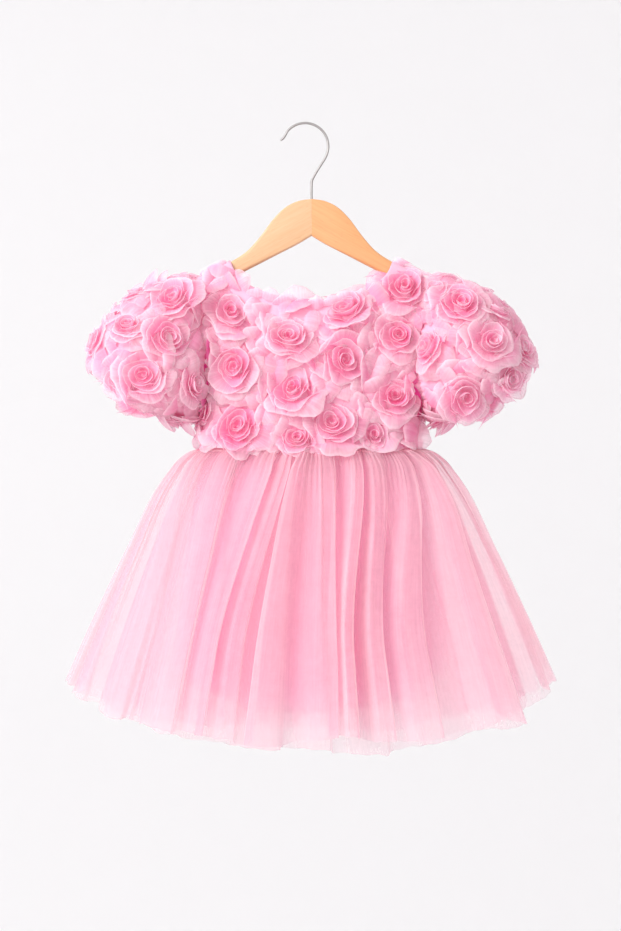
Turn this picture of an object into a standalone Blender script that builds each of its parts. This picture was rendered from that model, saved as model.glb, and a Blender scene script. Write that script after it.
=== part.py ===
"""Toddler party dress on a flat wooden hanger.

The dress is a fitted bodice and two puff sleeves covered in raised chiffon rosettes, over a gathered
tulle skirt of two layers with a shorter lining.  Every piece of cloth is a thin closed wall.  Lengths
are in millimetres and become metres when a mesh is made.  +Z is up, the front faces -Y, and the origin
is the inside of the hook's arch, where it rests on a rail.
"""

import bpy
import bmesh
import numpy as np
from mathutils import Vector
from mathutils.geometry import delaunay_2d_cdt

MILLIMETRE = 0.001

# Where the garment hangs, and how its pieces meet.
CENTRE_X = 7.4  # the dress and the hanger are centred this far to the right of the hook's arch
SEAM_GAP = 0.3
CLOTH_WALL = 1.5
TULLE_WALL = 1.2
LINING_WALL = 1.0

# Levels.
WAIST_Z = -368.0
UNDERARM_Z = -324.0
NECK_POINT_Z = -153.5
NECK_DROP = 46.5

# The shoulders.
NECK_HALF_WIDTH = 91.0
SHOULDER_OUT = 132.0
SHOULDER_SLOPE = 0.524
SHOULDER_ROUND = 8.0  # the cloth's outer half thickness where it folds over the hanger
SHOULDER_TO_CHEST = 100.0  # the fall over which the bodice deepens from shoulder to chest

# Half width and half depth of the bodice's oval sections.  Above the underarm the oval runs on past
# the armhole, which cuts it.
BODICE_COLUMNS = ("z", "half_width", "half_depth")
BODICE = [
    (-368.0, 126.0, 32.0),
    (-346.0, 124.0, 32.0),
    (-324.0, 122.0, 32.0),
    (-300.0, 131.0, 32.0),
    (-270.0, 155.0, 31.0),
    (-240.0, 185.0, 30.0),
    (-200.0, 220.0, 30.0),
    (-140.0, 245.0, 30.0),
]
ARMHOLE_COLUMNS = ("z", "out")
ARMHOLE = [
    (-324.0, 122.0),
    (-311.0, 117.0),
    (-295.0, 114.5),
    (-265.0, 114.0),
    (-235.0, 117.0),
    (-205.0, 123.0),
    (-175.0, 132.0),
]

# Sleeve sections from the armhole (along 0) to the cuff (along 1): the centre of each oval ring, how
# far it tips over towards the floor, and its half sizes.
SLEEVE_COLUMNS = ("along", "out", "z", "tip_deg", "half_height", "half_depth")
SLEEVE = [
    (0.00, 122.0, -250.0, 0.0, 74.0, 30.0),
    (0.22, 141.0, -250.0, 8.0, 73.0, 44.0),
    (0.50, 169.0, -263.0, 28.0, 72.0, 54.0),
    (0.78, 191.0, -286.0, 45.0, 66.0, 52.0),
    (1.00, 215.0, -300.0, 54.0, 43.0, 36.0),
]
SLEEVE_LENGTH = 150.0
SLEEVE_GIRTH = 420.0
HEAD_BLEND = 0.2  # share of the sleeve over which the armhole's outline turns into an oval
HEAD_RISE = 60.0  # the armhole's outline is first carried straight out, this far for a whole sleeve

# Skirt sections from the waist down, at the side seams.  Wave is how far a fold stands out from the
# mean, and inset is how far the under layer's mean lies inside the outer layer's.  The lining has its own
# half width and depths, because it hangs much narrower.
SKIRT_COLUMNS = ("drop", "half_width", "front", "back", "outer_wave", "under_inset", "under_wave",
                 "lining_half_width", "lining_front", "lining_back", "lining_wave")
SKIRT = [
    (0.0, 126.0, 32.0, 32.0, 0.7, 3.0, 0.5, 120.4, 26.4, 26.4, 0.0),
    (3.0, 137.0, 38.0, 37.0, 2.0, 7.5, 1.4, 121.0, 26.0, 25.5, 0.0),
    (27.0, 158.0, 56.0, 49.0, 4.0, 12.0, 2.8, 125.0, 30.0, 24.0, 1.5),
    (112.0, 203.0, 84.0, 61.0, 6.5, 18.0, 5.0, 138.0, 48.0, 25.0, 3.0),
    (187.0, 237.0, 101.0, 69.0, 8.5, 22.0, 6.4, 147.0, 56.0, 24.0, 4.0),
    (263.0, 268.0, 113.0, 77.0, 10.0, 25.0, 7.2, 153.0, 58.0, 22.0, 5.0),
]
# How long each layer is beside the table's drop, at the side, the front and the back.
OUTER_LENGTH = {"side": 1.0, "front": 1.22, "back": 1.19}
UNDER_LENGTH = {"side": 1.035, "front": 1.275, "back": 1.24}
LINING_LENGTH = {"side": 0.93, "front": 1.13, "back": 1.10}

# The outer layer's large folds across the front: where each leaves the waist and reaches the hem, how far
# it stands out beside the rest, how deep the recess to its right is, and how much longer it hangs.
FOLD_COLUMNS = ("waist_x", "hem_x", "crest", "recess", "longer")
FRONT_FOLDS = [
    (-124.0, -262.0, 0.6, 0.5, 2.0),
    (-116.0, -212.0, 0.8, 0.5, -3.0),
    (-81.0, -161.0, 1.0, 1.0, 4.0),
    (-40.0, -132.0, 1.1, 1.0, -2.0),
    (-21.5, -101.0, 1.1, 0.9, 3.0),
    (-11.0, -47.0, 1.3, 0.2, 6.0),
    (15.0, 20.0, 0.9, 1.0, -4.0),
    (46.0, 41.0, 1.0, 1.1, -2.0),
    (61.0, 80.0, 0.9, 0.8, 4.0),
    (91.0, 114.0, 1.1, 0.7, 7.0),
    (106.0, 205.0, 1.3, 0.9, 5.0),
    (118.0, 262.0, 0.6, 0.5, 2.0),
]
BACK_FOLDS = 13
BACK_HEM_REACH = 250.0  # where the outermost of the back's folds reach the hem
UNDER_FOLDS = 14
LINING_FOLDS = 12
SAMPLES_PER_FOLD = {"outer": 6, "under": 6, "lining": 4}
# Folds that follow a rule are uneven by slow waves: in place, in how far they stand out (as a share)
# and in how much longer they hang (in millimetres).  The steps are each wave's radians from fold to fold.
UNEVEN_PLACE = 5.0
UNEVEN_CREST = 0.2
UNEVEN_LENGTH = 5.0
PLACE_STEP = 2.1
CREST_STEP = 1.9
LENGTH_STEP = 2.7
SIDE_CREST = 0.6  # how far the fold at each side seam stands out
SIDE_RECESS = 0.6
EVEN_RECESS = 0.9
FAN_OUT = 1.4  # the front folds have fanned out fully before the hem, at this part of it
FAN_EASE = 0.8
SIDE_DRAW = 0.22  # draws evenly turned folds from the sides towards front and back, where the oval is long

# Rosettes.  out and z place the middle of each as the front or the back view shows it.
# Columns: out, z, radius, height, turn_deg.
FRONT_ROSETTES = [
    (-90.0, -214.0, 27.0, 15.0, 20.0),
    (-25.0, -240.0, 29.0, 16.0, 140.0),
    (35.0, -210.0, 30.0, 16.0, 260.0),
    (101.0, -184.0, 32.0, 17.0, 75.0),
    (94.0, -240.0, 27.0, 15.0, 200.0),
    (-88.0, -278.0, 31.0, 17.0, 310.0),
    (-20.0, -299.0, 32.0, 17.0, 45.0),
    (39.0, -268.0, 32.0, 17.0, 170.0),
    (93.0, -308.0, 30.0, 17.0, 285.0),
    (-77.0, -342.0, 34.0, 17.0, 100.0),
    (-19.0, -354.0, 20.0, 12.0, 220.0),
    (25.0, -336.0, 34.0, 17.0, 340.0),
    (70.0, -352.0, 21.0, 12.0, 60.0),
    (-121.0, -322.0, 17.0, 10.0, 30.0),
]
BACK_ROSETTES = [
    (98.0, -188.0, 29.0, 15.0, 15.0),
    (37.0, -233.0, 31.0, 16.0, 130.0),
    (93.0, -242.0, 30.0, 16.0, 275.0),
    (31.0, -289.0, 32.0, 17.0, 50.0),
    (87.0, -298.0, 31.0, 16.0, 205.0),
    (31.0, -342.0, 29.0, 15.0, 320.0),
    (88.0, -348.0, 28.0, 14.0, 95.0),
    (119.0, -322.0, 19.0, 10.0, 160.0),
]
LEFT_SLEEVE_FRONT = [
    (157.0, -201.0, 30.0, 16.0, 10.0),
    (206.0, -229.0, 24.0, 15.0, 150.0),
    (160.0, -244.0, 28.0, 15.0, 230.0),
    (183.0, -284.0, 34.0, 17.0, 80.0),
    (241.0, -250.0, 22.0, 13.0, 300.0),
    (134.0, -297.0, 26.0, 14.0, 190.0),
    (158.0, -334.0, 23.0, 12.0, 40.0),
    (204.0, -187.0, 23.0, 13.0, 110.0),
    (222.0, -300.0, 23.0, 13.0, 270.0),
]
RIGHT_SLEEVE_FRONT = [
    (166.0, -209.0, 30.0, 16.0, 35.0),
    (134.0, -254.0, 24.0, 15.0, 125.0),
    (200.0, -249.0, 32.0, 16.0, 245.0),
    (168.0, -309.0, 35.0, 17.0, 330.0),
    (230.0, -292.0, 26.0, 14.0, 60.0),
    (244.0, -248.0, 22.0, 13.0, 180.0),
    (212.0, -196.0, 23.0, 13.0, 290.0),
    (145.0, -180.0, 20.0, 11.0, 95.0),
    (148.0, -333.0, 19.0, 11.0, 15.0),
]
SLEEVE_BACK = [
    (149.0, -208.0, 30.0, 16.0, 70.0),
    (197.0, -218.0, 29.0, 15.0, 215.0),
    (158.0, -258.0, 31.0, 16.0, 325.0),
    (212.0, -266.0, 31.0, 16.0, 120.0),
    (153.0, -307.0, 28.0, 15.0, 20.0),
    (198.0, -308.0, 26.0, 13.0, 265.0),
]

# A rosette's rolled petals: ridges on a spiral, as shares of its radius and height.
SPIRAL_START = 0.13
SPIRAL_PITCH = 0.27
SPIRAL_TURNS = 2.6
POINTS_PER_TURN = 7
PETAL_STEP = 0.36  # how far the cloth drops outside a ridge
PETAL_FOOT = 0.2  # share of the pitch that the drop takes
CROWN_FALL = 0.55  # how much lower the outer petals are than the bud
ROSETTE_RIM = 0.94
ROSETTE_FOOT = 1.07
RIM_POINTS = 11
SEAM_FLAT = 7.0  # the petals die out over this width beside a seam

# Where the sleeves' rosettes may lie: their middles clear of both seams, and how far one can reach.
HEAD_CLEARANCE = 8.0
CUFF_CLEARANCE = 6.0
ROSETTE_REACH = 45.0
SEARCH_STEPS = (241, 73)  # places round and along a sleeve that are tried for each middle

# Spacing of the points that carry the bare cloth.
OUTSIDE_SPACING = 15.0
INSIDE_SPACING = 19.0
STAGGERED_ROWS = 0.87  # the rows' distance beside the spacing, for nearly even triangles
CLOSEST_POINTS = 3.2
EDGE_CLEARANCE = 3.0
SAME_PLACE = 0.3
BARE_BELOW = 0.5  # cloth raised less than this takes the bare cloth's points
ARC_SCALE = 120.0  # millimetres of cloth for each radian round the bodice

ARMHOLE_STEPS = 14
NECK_STEPS = 12
SHOULDER_STEPS = 5
SHOULDER_ROWS = (0.8, 3.2, 9.0)
SIDE_STEPS = 4
WAIST_STEPS = 20
HEAD_ROW = 8.0  # how far past the armhole a row of points carries the sleeve over the hanger's end
HEAD_REACH = 4  # armhole steps that the row covers on either side of the shoulder
SLEEVE_SEAM_STEPS = 9
CUFF_STEPS = 22

# The wooden hanger: its top edge and underside at distances out from the joint in the middle.
# Columns: out, top, underside, thickness, corner.
WOOD = [
    (0.15, -84.9, -126.9, 11.0, 2.5),
    (16.0, -87.6, -136.5, 11.0, 2.5),
    (31.0, -95.5, -144.2, 11.0, 2.5),
    (44.0, -108.5, -150.8, 11.0, 3.0),
    (57.0, -126.0, -157.6, 11.0, 3.5),
    (71.0, -142.0, -164.8, 11.0, 4.0),
    (91.0, -155.9, -175.4, 11.0, 4.0),
    (112.0, -166.9, -186.4, 11.0, 4.0),
    (132.0, -177.4, -195.7, 11.0, 4.0),
    (135.5, -180.2, -196.4, 9.4, 3.8),
    (137.5, -184.0, -193.6, 6.4, 3.0),
]
CORNER_STEPS = 3
SOCKET_DEPTH = 22.0
SOCKET_SIDES = 16
SOCKET_OVERRUN = 6.0  # how far the tool that bores the socket stands out of the wood

# The wire hook.
WIRE = 2.8
ARCH_RADIUS = 26.4
ARCH_FROM_DEG = -25.0
ARCH_TO_DEG = 138.0
ARCH_STEPS = 15
WIRE_POINTS = 36
WIRE_SIDES_RESOLUTION = 2
# The stem and the tip as (x, z) points, before and after the arch.
HOOK_STEM = [
    (CENTRE_X, -84.9 - SOCKET_DEPTH),
    (CENTRE_X, -88.0),
    (CENTRE_X, -72.0),
    (8.0, -65.0),
    (10.6, -58.4),
    (17.0, -47.6),
]
HOOK_TIP = [
    (-22.4, -12.2),
    (-25.0, -16.0),
    (-28.4, -18.8),
]

PINK = (0.93, 0.45, 0.62, 1.0)
PALE_PINK = (0.96, 0.62, 0.74, 1.0)
BEECH_LIGHT = (0.86, 0.57, 0.32, 1.0)
BEECH_DARK = (0.80, 0.48, 0.25, 1.0)
STEEL = (0.62, 0.60, 0.58, 1.0)


def column(table, names, name):
    """One named column of a table, as an array."""
    return np.array([row[names.index(name)] for row in table])


def smooth_between(value, places, heights):
    """A smooth curve through (places, heights): cubic pieces whose slopes come from their neighbours."""
    slopes = np.gradient(heights, places)
    value = np.clip(value, places[0], places[-1])
    i = np.clip(np.searchsorted(places, value) - 1, 0, len(places) - 2)
    width = places[i + 1] - places[i]
    t = (value - places[i]) / width
    start, end = heights[i], heights[i + 1]
    return (
        start * (1 + 2 * t) * (1 - t) ** 2
        + end * t * t * (3 - 2 * t)
        + width * (slopes[i] * t * (1 - t) ** 2 - slopes[i + 1] * t * t * (1 - t))
    )


def read_table(table, names, by, name, value):
    """The smooth value of a column where the column called by has the given value."""
    return smooth_between(value, column(table, names, by), column(table, names, name))


def smooth_step(t):
    """0 to 1 with level ends."""
    t = np.clip(t, 0.0, 1.0)
    return t * t * (3 - 2 * t)


# ---------------------------------------------------------------- surfaces


def shoulder_line(out):
    """Height of the shoulder seam's top at a distance out from the middle."""
    return NECK_POINT_Z - SHOULDER_SLOPE * (np.clip(out, NECK_HALF_WIDTH, None) - NECK_HALF_WIDTH)


def bodice_surface(side):
    """The bodice's outer face as a function of (arc, z).  side is -1 for the front and 1 for the back.
    Each level is half an oval, and near the shoulders its depth closes over the hanger."""

    def surface(arc, z):
        angle = np.clip(arc / ARC_SCALE, -np.pi / 2, np.pi / 2)
        x = read_table(BODICE, BODICE_COLUMNS, "z", "half_width", z) * np.sin(angle)
        fall = np.clip(shoulder_line(np.abs(x)) - z, 0.0, None)
        fold = 1 - (1 - np.clip(fall / SHOULDER_ROUND, 0.0, 1.0)) ** 3
        depth = SHOULDER_ROUND * np.cbrt(fold)
        chest = read_table(BODICE, BODICE_COLUMNS, "z", "half_depth", z)
        depth = depth + (chest - SHOULDER_ROUND) * smooth_step(fall / SHOULDER_TO_CHEST)
        depth = depth * np.clip(np.cos(angle), 0.0, 1.0) ** np.clip(fall / SHOULDER_TO_CHEST, 0.0, 1.0)
        return np.stack([x, side * (depth + SEAM_GAP / 2), z], axis=-1)

    return surface


def bodice_arc(x, z):
    """The arc that puts the bodice's surface at x on the level z."""
    half_width = read_table(BODICE, BODICE_COLUMNS, "z", "half_width", z)
    return ARC_SCALE * np.arcsin(np.clip(x / half_width, -1.0, 1.0))


def armhole_levels():
    """Heights of the armhole's points from the shoulder to the underarm, closer together at its ends."""
    turn = np.linspace(0.0, np.pi, ARMHOLE_STEPS + 1)
    top = shoulder_line(np.array(SHOULDER_OUT))
    return (top + UNDERARM_Z) / 2 + (top - UNDERARM_Z) / 2 * np.cos(turn)


def armhole_out(z):
    """How far out the armhole's edge is at a level."""
    return read_table(ARMHOLE, ARMHOLE_COLUMNS, "z", "out", z)


def sleeve_surface(hand):
    """The sleeve's outer face as a function of (girth, length).  hand is -1 for the left of the view and
    1 for the right.  It starts as the armhole's outline and turns into ovals that tip towards the floor."""
    top = shoulder_line(np.array(SHOULDER_OUT))
    front = bodice_surface(-1)

    def surface(girth, length):
        turn = np.pi + 2 * np.pi * girth / SLEEVE_GIRTH
        along = np.clip(length / SLEEVE_LENGTH, 0.0, 1.0)
        ring = {n: read_table(SLEEVE, SLEEVE_COLUMNS, "along", n, along) for n in SLEEVE_COLUMNS}
        tip = np.radians(ring["tip_deg"])
        up = ring["half_height"] * np.cos(turn)
        oval = [
            ring["out"] + up * np.sin(tip),
            -ring["half_depth"] * np.sin(turn),
            ring["z"] + up * np.cos(tip),
        ]
        level = (top + UNDERARM_Z) / 2 + (top - UNDERARM_Z) / 2 * np.cos(turn)
        out = armhole_out(level)
        depth = -front(bodice_arc(out, level), level)[..., 1] - SEAM_GAP / 2
        front_or_back = np.sign(np.round(np.sin(turn), 6))
        edge = [out + SEAM_GAP + HEAD_RISE * along, -depth * front_or_back, level]
        share = smooth_step(along / HEAD_BLEND)
        x, y, z = (a * (1 - share) + b * share for a, b in zip(edge, oval))
        return np.stack([hand * x, y, z], axis=-1)

    return surface


def normals_of(surface, p, q, outward):
    """Unit normals of a surface at its points (p, q).  outward is 1 or -1, to face the wearer's outside."""
    step = 0.02
    along_p = surface(p + step, q) - surface(p - step, q)
    along_q = surface(p, q + step) - surface(p, q - step)
    normal = outward * np.cross(along_p, along_q)
    return normal / np.maximum(np.linalg.norm(normal, axis=-1, keepdims=True), 1e-12)


# ---------------------------------------------------------------- rosettes


def rosette_outline_points(radius, turn):
    """Flat places that carry a rosette's form: the tops and feet of its spiral, its rim and its foot."""
    count = int(SPIRAL_TURNS * POINTS_PER_TURN)
    angle = 2 * np.pi * np.arange(count) / POINTS_PER_TURN
    ridge = SPIRAL_START + SPIRAL_PITCH * angle / (2 * np.pi)
    around = 2 * np.pi * np.arange(RIM_POINTS) / RIM_POINTS
    shares = np.concatenate([
        [0.0],
        ridge,
        ridge + PETAL_FOOT * SPIRAL_PITCH,
        np.full(RIM_POINTS, ROSETTE_RIM),
        np.full(RIM_POINTS, ROSETTE_FOOT),
    ])
    angles = np.concatenate([[0.0], angle, angle, around, around]) + turn
    return radius * shares * np.cos(angles), radius * shares * np.sin(angles)


def rosette_height(share, angle):
    """Height of the petals at a share of the radius: a low crown, cut into steps by the spiral's ridges,
    that falls to the cloth between its rim and its foot."""
    crown = 1 - CROWN_FALL * share**2
    winding = (share - SPIRAL_START) / SPIRAL_PITCH - (angle % (2 * np.pi)) / (2 * np.pi)
    within = winding - np.floor(winding)
    step = np.where(within < PETAL_FOOT, within / PETAL_FOOT, (1 - within) / (1 - PETAL_FOOT))
    edge = smooth_step((ROSETTE_FOOT - share) / (ROSETTE_FOOT - ROSETTE_RIM))
    return np.where(share < ROSETTE_FOOT, (crown - PETAL_STEP * step) * edge, 0.0)


def place_rosettes(surface, outward, spots):
    """For each (p, q, radius, height, turn): its place, its flat frame and the pull from flat to (p, q)."""
    placed = []
    for p, q, radius, height, turn_deg in spots:
        at = np.array([p]), np.array([q])
        centre = surface(*at)[0]
        normal = normals_of(surface, *at, outward)[0]
        step = 1.0
        along_p = (surface(at[0] + step, at[1]) - surface(at[0] - step, at[1]))[0] / (2 * step)
        along_q = (surface(at[0], at[1] + step) - surface(at[0], at[1] - step))[0] / (2 * step)
        across = along_p / np.linalg.norm(along_p)
        upward = np.cross(normal, across)
        pull = np.linalg.inv(np.array([
            [across @ along_p, across @ along_q],
            [upward @ along_p, upward @ along_q],
        ]))
        placed.append((p, q, radius, height, np.radians(turn_deg), centre, across, upward, pull))
    return placed


def rosette_relief(points, placed):
    """How far the petals raise each point, and which rosette does: the highest one there."""
    relief = np.zeros(len(points))
    owner = np.full(len(points), -1)
    for k, (_, _, radius, height, turn, centre, across, upward, _) in enumerate(placed):
        away = points - centre
        share = np.linalg.norm(away, axis=1) / radius
        angle = np.arctan2(away @ upward, away @ across) - turn
        raised = height * rosette_height(share, angle)
        owner[raised > relief] = k
        relief = np.maximum(relief, raised)
    return relief, owner


def rosette_points(placed, surface):
    """The (p, q) points that all rosettes ask for, without those that lie under a higher neighbour."""
    kept = []
    for k, (p, q, radius, _, turn, _, _, _, pull) in enumerate(placed):
        flat = np.array(rosette_outline_points(radius, turn))
        spots = (pull @ flat).T + np.array([p, q])
        _, owner = rosette_relief(surface(spots[:, 0], spots[:, 1]), placed)
        kept.append(spots[(owner == k) | (owner == -1)])
    return np.concatenate(kept)


# ---------------------------------------------------------------- walls


def new_object(name, bm, colour, roughness=0.85, metallic=0.0):
    """Turns a bmesh in millimetres, centred on the garment, into a named object with its own material."""
    for vertex in bm.verts:
        vertex.co = (vertex.co + Vector((CENTRE_X, 0.0, 0.0))) * MILLIMETRE
    mesh = bpy.data.meshes.new(name)
    bm.to_mesh(mesh)
    bm.free()
    mesh.shade_smooth()
    obj = bpy.data.objects.new(name, mesh)
    bpy.context.scene.collection.objects.link(obj)
    mesh.materials.append(new_material(name, colour, roughness, metallic))
    return obj


def new_material(name, colour, roughness, metallic):
    material = bpy.data.materials.new(name)
    material.use_nodes = True
    shader = material.node_tree.nodes["Principled BSDF"]
    shader.inputs["Base Color"].default_value = colour
    shader.inputs["Roughness"].default_value = roughness
    shader.inputs["Metallic"].default_value = metallic
    return material


def grid_points(outline, spacing):
    """Points in staggered rows over the outline's box."""
    low, high = outline.min(axis=0), outline.max(axis=0)
    rows = np.arange(low[1] + spacing / 2, high[1], spacing * STAGGERED_ROWS)
    columns = np.arange(low[0], high[0], spacing)
    return np.array([(c + spacing / 2 * (k % 2), r) for k, r in enumerate(rows) for c in columns])


def distance_to_edges(points, starts, ends):
    """Distance from each point to the nearest of the given straight edges."""
    run = ends - starts
    length = np.maximum((run**2).sum(axis=1), 1e-12)
    away = points[:, None, :] - starts[None, :, :]
    share = np.clip((away * run).sum(axis=2) / length, 0.0, 1.0)
    return np.linalg.norm(away - share[..., None] * run, axis=2).min(axis=1)


def thin_out(points, spacing):
    """Drops each point that lies closer than spacing to one kept before it."""
    kept = []
    for point in points:
        if not kept or np.min(np.linalg.norm(np.array(kept) - point, axis=1)) >= spacing:
            kept.append(point)
    return np.array(kept)


def triangles_inside(points, count, creases):
    """Triangles over a closed outline, the first count points, and the points inside it, turning with the
    outline.  Each crease is a row of places that edges of the triangles run through."""
    edges = [(i, (i + 1) % count) for i in range(count)]
    for crease in creases:
        row = [int(np.argmin(np.linalg.norm(points - place, axis=1))) for place in crease]
        edges += list(zip(row, row[1:]))
    return delaunay_2d_cdt([Vector(p) for p in points], edges, [], 1, 1e-6)[2]


def cloth_panel(name, surface, outward, outline, sewn, spots, creases, colour):
    """A wall of cloth over a closed outline of (p, q) points: rosettes raised in its outer face, a plain
    inner face, and an edge all round except where sewn is False, where the two ends of a tube meet.
    Both faces have edges along the creases, which carry the fold over the hanger."""
    outline = np.array(outline)
    sewn = np.array(sewn)
    extra = np.concatenate([np.array(crease) for crease in creases])
    starts, ends = outline, np.roll(outline, -1, axis=0)
    placed = place_rosettes(surface, outward, spots)
    wanted = [rosette_points(placed, surface)]
    bare = grid_points(outline, OUTSIDE_SPACING)
    relief, _ = rosette_relief(surface(bare[:, 0], bare[:, 1]), placed)
    wanted.append(bare[relief < BARE_BELOW])
    outer_inside = np.concatenate(wanted)
    inner_inside = grid_points(outline, INSIDE_SPACING)

    bm = bmesh.new()
    rims = []
    for inside, is_outer in ((outer_inside, True), (inner_inside, False)):
        coarse = 1 if is_outer else 2
        inside = inside[distance_to_edges(inside, starts, ends) > EDGE_CLEARANCE * coarse]
        inside = thin_out(inside, CLOSEST_POINTS * coarse)
        flat = thin_out(np.concatenate([outline, extra, inside]), SAME_PLACE)
        points = surface(flat[:, 0], flat[:, 1])
        normals = normals_of(surface, flat[:, 0], flat[:, 1], outward)
        if is_outer:
            relief, _ = rosette_relief(points, placed)
            near = distance_to_edges(flat, starts[sewn], ends[sewn])
            points = points + normals * (relief * smooth_step(near / SEAM_FLAT))[:, None]
        else:
            points = points - normals * CLOTH_WALL
        verts = [bm.verts.new(p) for p in points]
        rims.append(verts[: len(outline)])
        for a, b, c in triangles_inside(flat, len(outline), creases):
            corners = (verts[a], verts[b], verts[c])
            bm.faces.new(corners if is_outer == (outward > 0) else corners[::-1])
    outer, inner = rims
    count = len(outline)
    for i in range(count):
        if sewn[i]:
            j = (i + 1) % count
            for corners in ((outer[i], inner[i], inner[j]), (outer[i], inner[j], outer[j])):
                bm.faces.new(corners if outward > 0 else corners[::-1])
    bmesh.ops.remove_doubles(bm, verts=bm.verts, dist=1e-4)
    loose = [v for v in bm.verts if not v.link_faces]
    bmesh.ops.delete(bm, geom=loose, context="VERTS")
    return new_object(name, bm, colour)


# ---------------------------------------------------------------- the dress


def bodice_outline():
    """The right half of the bodice panel's outline in (x, z), from the middle of its bottom edge round to
    the neckline's middle: waist, side seam, armhole, shoulder, neckline."""
    waist_half = BODICE[0][BODICE_COLUMNS.index("half_width")]
    waist = [(waist_half * np.sin(t), WAIST_Z) for t in np.linspace(0.0, np.pi / 2, WAIST_STEPS // 2 + 1)]
    side_z = np.linspace(WAIST_Z, UNDERARM_Z, SIDE_STEPS + 1)[1:-1]
    side = [(read_table(BODICE, BODICE_COLUMNS, "z", "half_width", z), z) for z in side_z]
    armhole = [(armhole_out(z), z) for z in armhole_levels()[::-1]]
    out = np.linspace(SHOULDER_OUT, NECK_HALF_WIDTH, SHOULDER_STEPS + 1)[1:]
    shoulder = [(x, shoulder_line(x)) for x in out]
    turn = np.concatenate([neck_turns(), np.linspace(neck_turns()[-1], 0.0, NECK_STEPS)[1:]])
    neck = [neck_point(t) for t in turn]
    return np.array(waist + side + armhole + shoulder + neck)


def neck_point(turn):
    """The neckline's (x, z) at a turn from the middle, where 0 is its lowest point."""
    return NECK_HALF_WIDTH * np.sin(turn), NECK_POINT_Z - NECK_DROP * np.cos(turn)


def neck_turns():
    """The neckline's turns at the shoulder rows' levels."""
    return np.arccos(np.array(SHOULDER_ROWS) / NECK_DROP)


def shoulder_creases():
    """Rows of (x, z) points that carry the fold of cloth over the right shoulder of the hanger, each from
    the neckline to the armhole."""
    out = np.linspace(NECK_HALF_WIDTH, SHOULDER_OUT, SHOULDER_STEPS + 1)[1:-1]
    ends = armhole_levels()[1 : len(SHOULDER_ROWS) + 1]
    return [
        np.array([neck_point(turn), *((x, shoulder_line(x) - drop) for x in out), (armhole_out(end), end)])
        for turn, drop, end in zip(neck_turns(), SHOULDER_ROWS, ends)
    ]


def to_arc(points):
    """(x, z) places on the bodice as (arc, z)."""
    return np.stack([bodice_arc(points[:, 0], points[:, 1]), points[:, 1]], axis=1)


def mirrored(points):
    """The same places on the other side of the middle, in the opposite order."""
    return points[::-1] * np.array([-1.0, 1.0])


def rosette_spots(table):
    """Rosette rows whose out is x on the bodice, as (arc, z, radius, height, turn)."""
    return [(float(bodice_arc(x, np.array(z))), z, r, h, t) for x, z, r, h, t in table]


def make_bodice():
    half = bodice_outline()
    right_creases = shoulder_creases()
    left_creases = [mirrored(row) for row in right_creases]
    outline = to_arc(np.concatenate([half, mirrored(half)[1:-1]]))
    cloth_panel("bodice_front", bodice_surface(-1), 1, outline, [True] * len(outline),
                rosette_spots(FRONT_ROSETTES), [to_arc(row) for row in right_creases + left_creases], PINK)

    # Each back half stops short of the centre-back seam.
    edge = half.copy()
    edge[edge[:, 0] < SEAM_GAP / 2, 0] = SEAM_GAP / 2
    seam = [(SEAM_GAP / 2, z) for z in np.linspace(edge[-1, 1], WAIST_Z, 2 * SIDE_STEPS + 4)[1:-1]]
    right = np.concatenate([edge, np.array(seam)])
    for name, outline, creases, hand in (
        ("bodice_back_right", right, right_creases, 1),
        ("bodice_back_left", mirrored(right), left_creases, -1),
    ):
        spots = [(hand * x, z, r, h, t) for x, z, r, h, t in BACK_ROSETTES]
        cloth_panel(name, bodice_surface(1), -1, to_arc(outline), [True] * len(outline),
                    rosette_spots(spots), [to_arc(row) for row in creases], PINK)


def sleeve_spots(surface, table, hand, facing):
    """Rosette rows placed in the front or back view, as (girth, length, ...) on a sleeve: the point of
    that face of the sleeve that the view shows nearest to the place.  facing is -1 for the front."""
    girth, length = np.meshgrid(
        np.linspace(0.0, SLEEVE_GIRTH, SEARCH_STEPS[0]),
        np.linspace(HEAD_CLEARANCE, SLEEVE_LENGTH - CUFF_CLEARANCE, SEARCH_STEPS[1]),
        indexing="ij",
    )
    points = surface(girth, length)
    spots = []
    for out, z, radius, height, turn in table:
        away = (points[..., 0] - hand * out) ** 2 + (points[..., 2] - z) ** 2
        away[points[..., 1] * facing < 0] = np.inf
        i = np.unravel_index(np.argmin(away), away.shape)
        spots.append((girth[i], length[i], radius, height, turn))
    return spots


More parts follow.
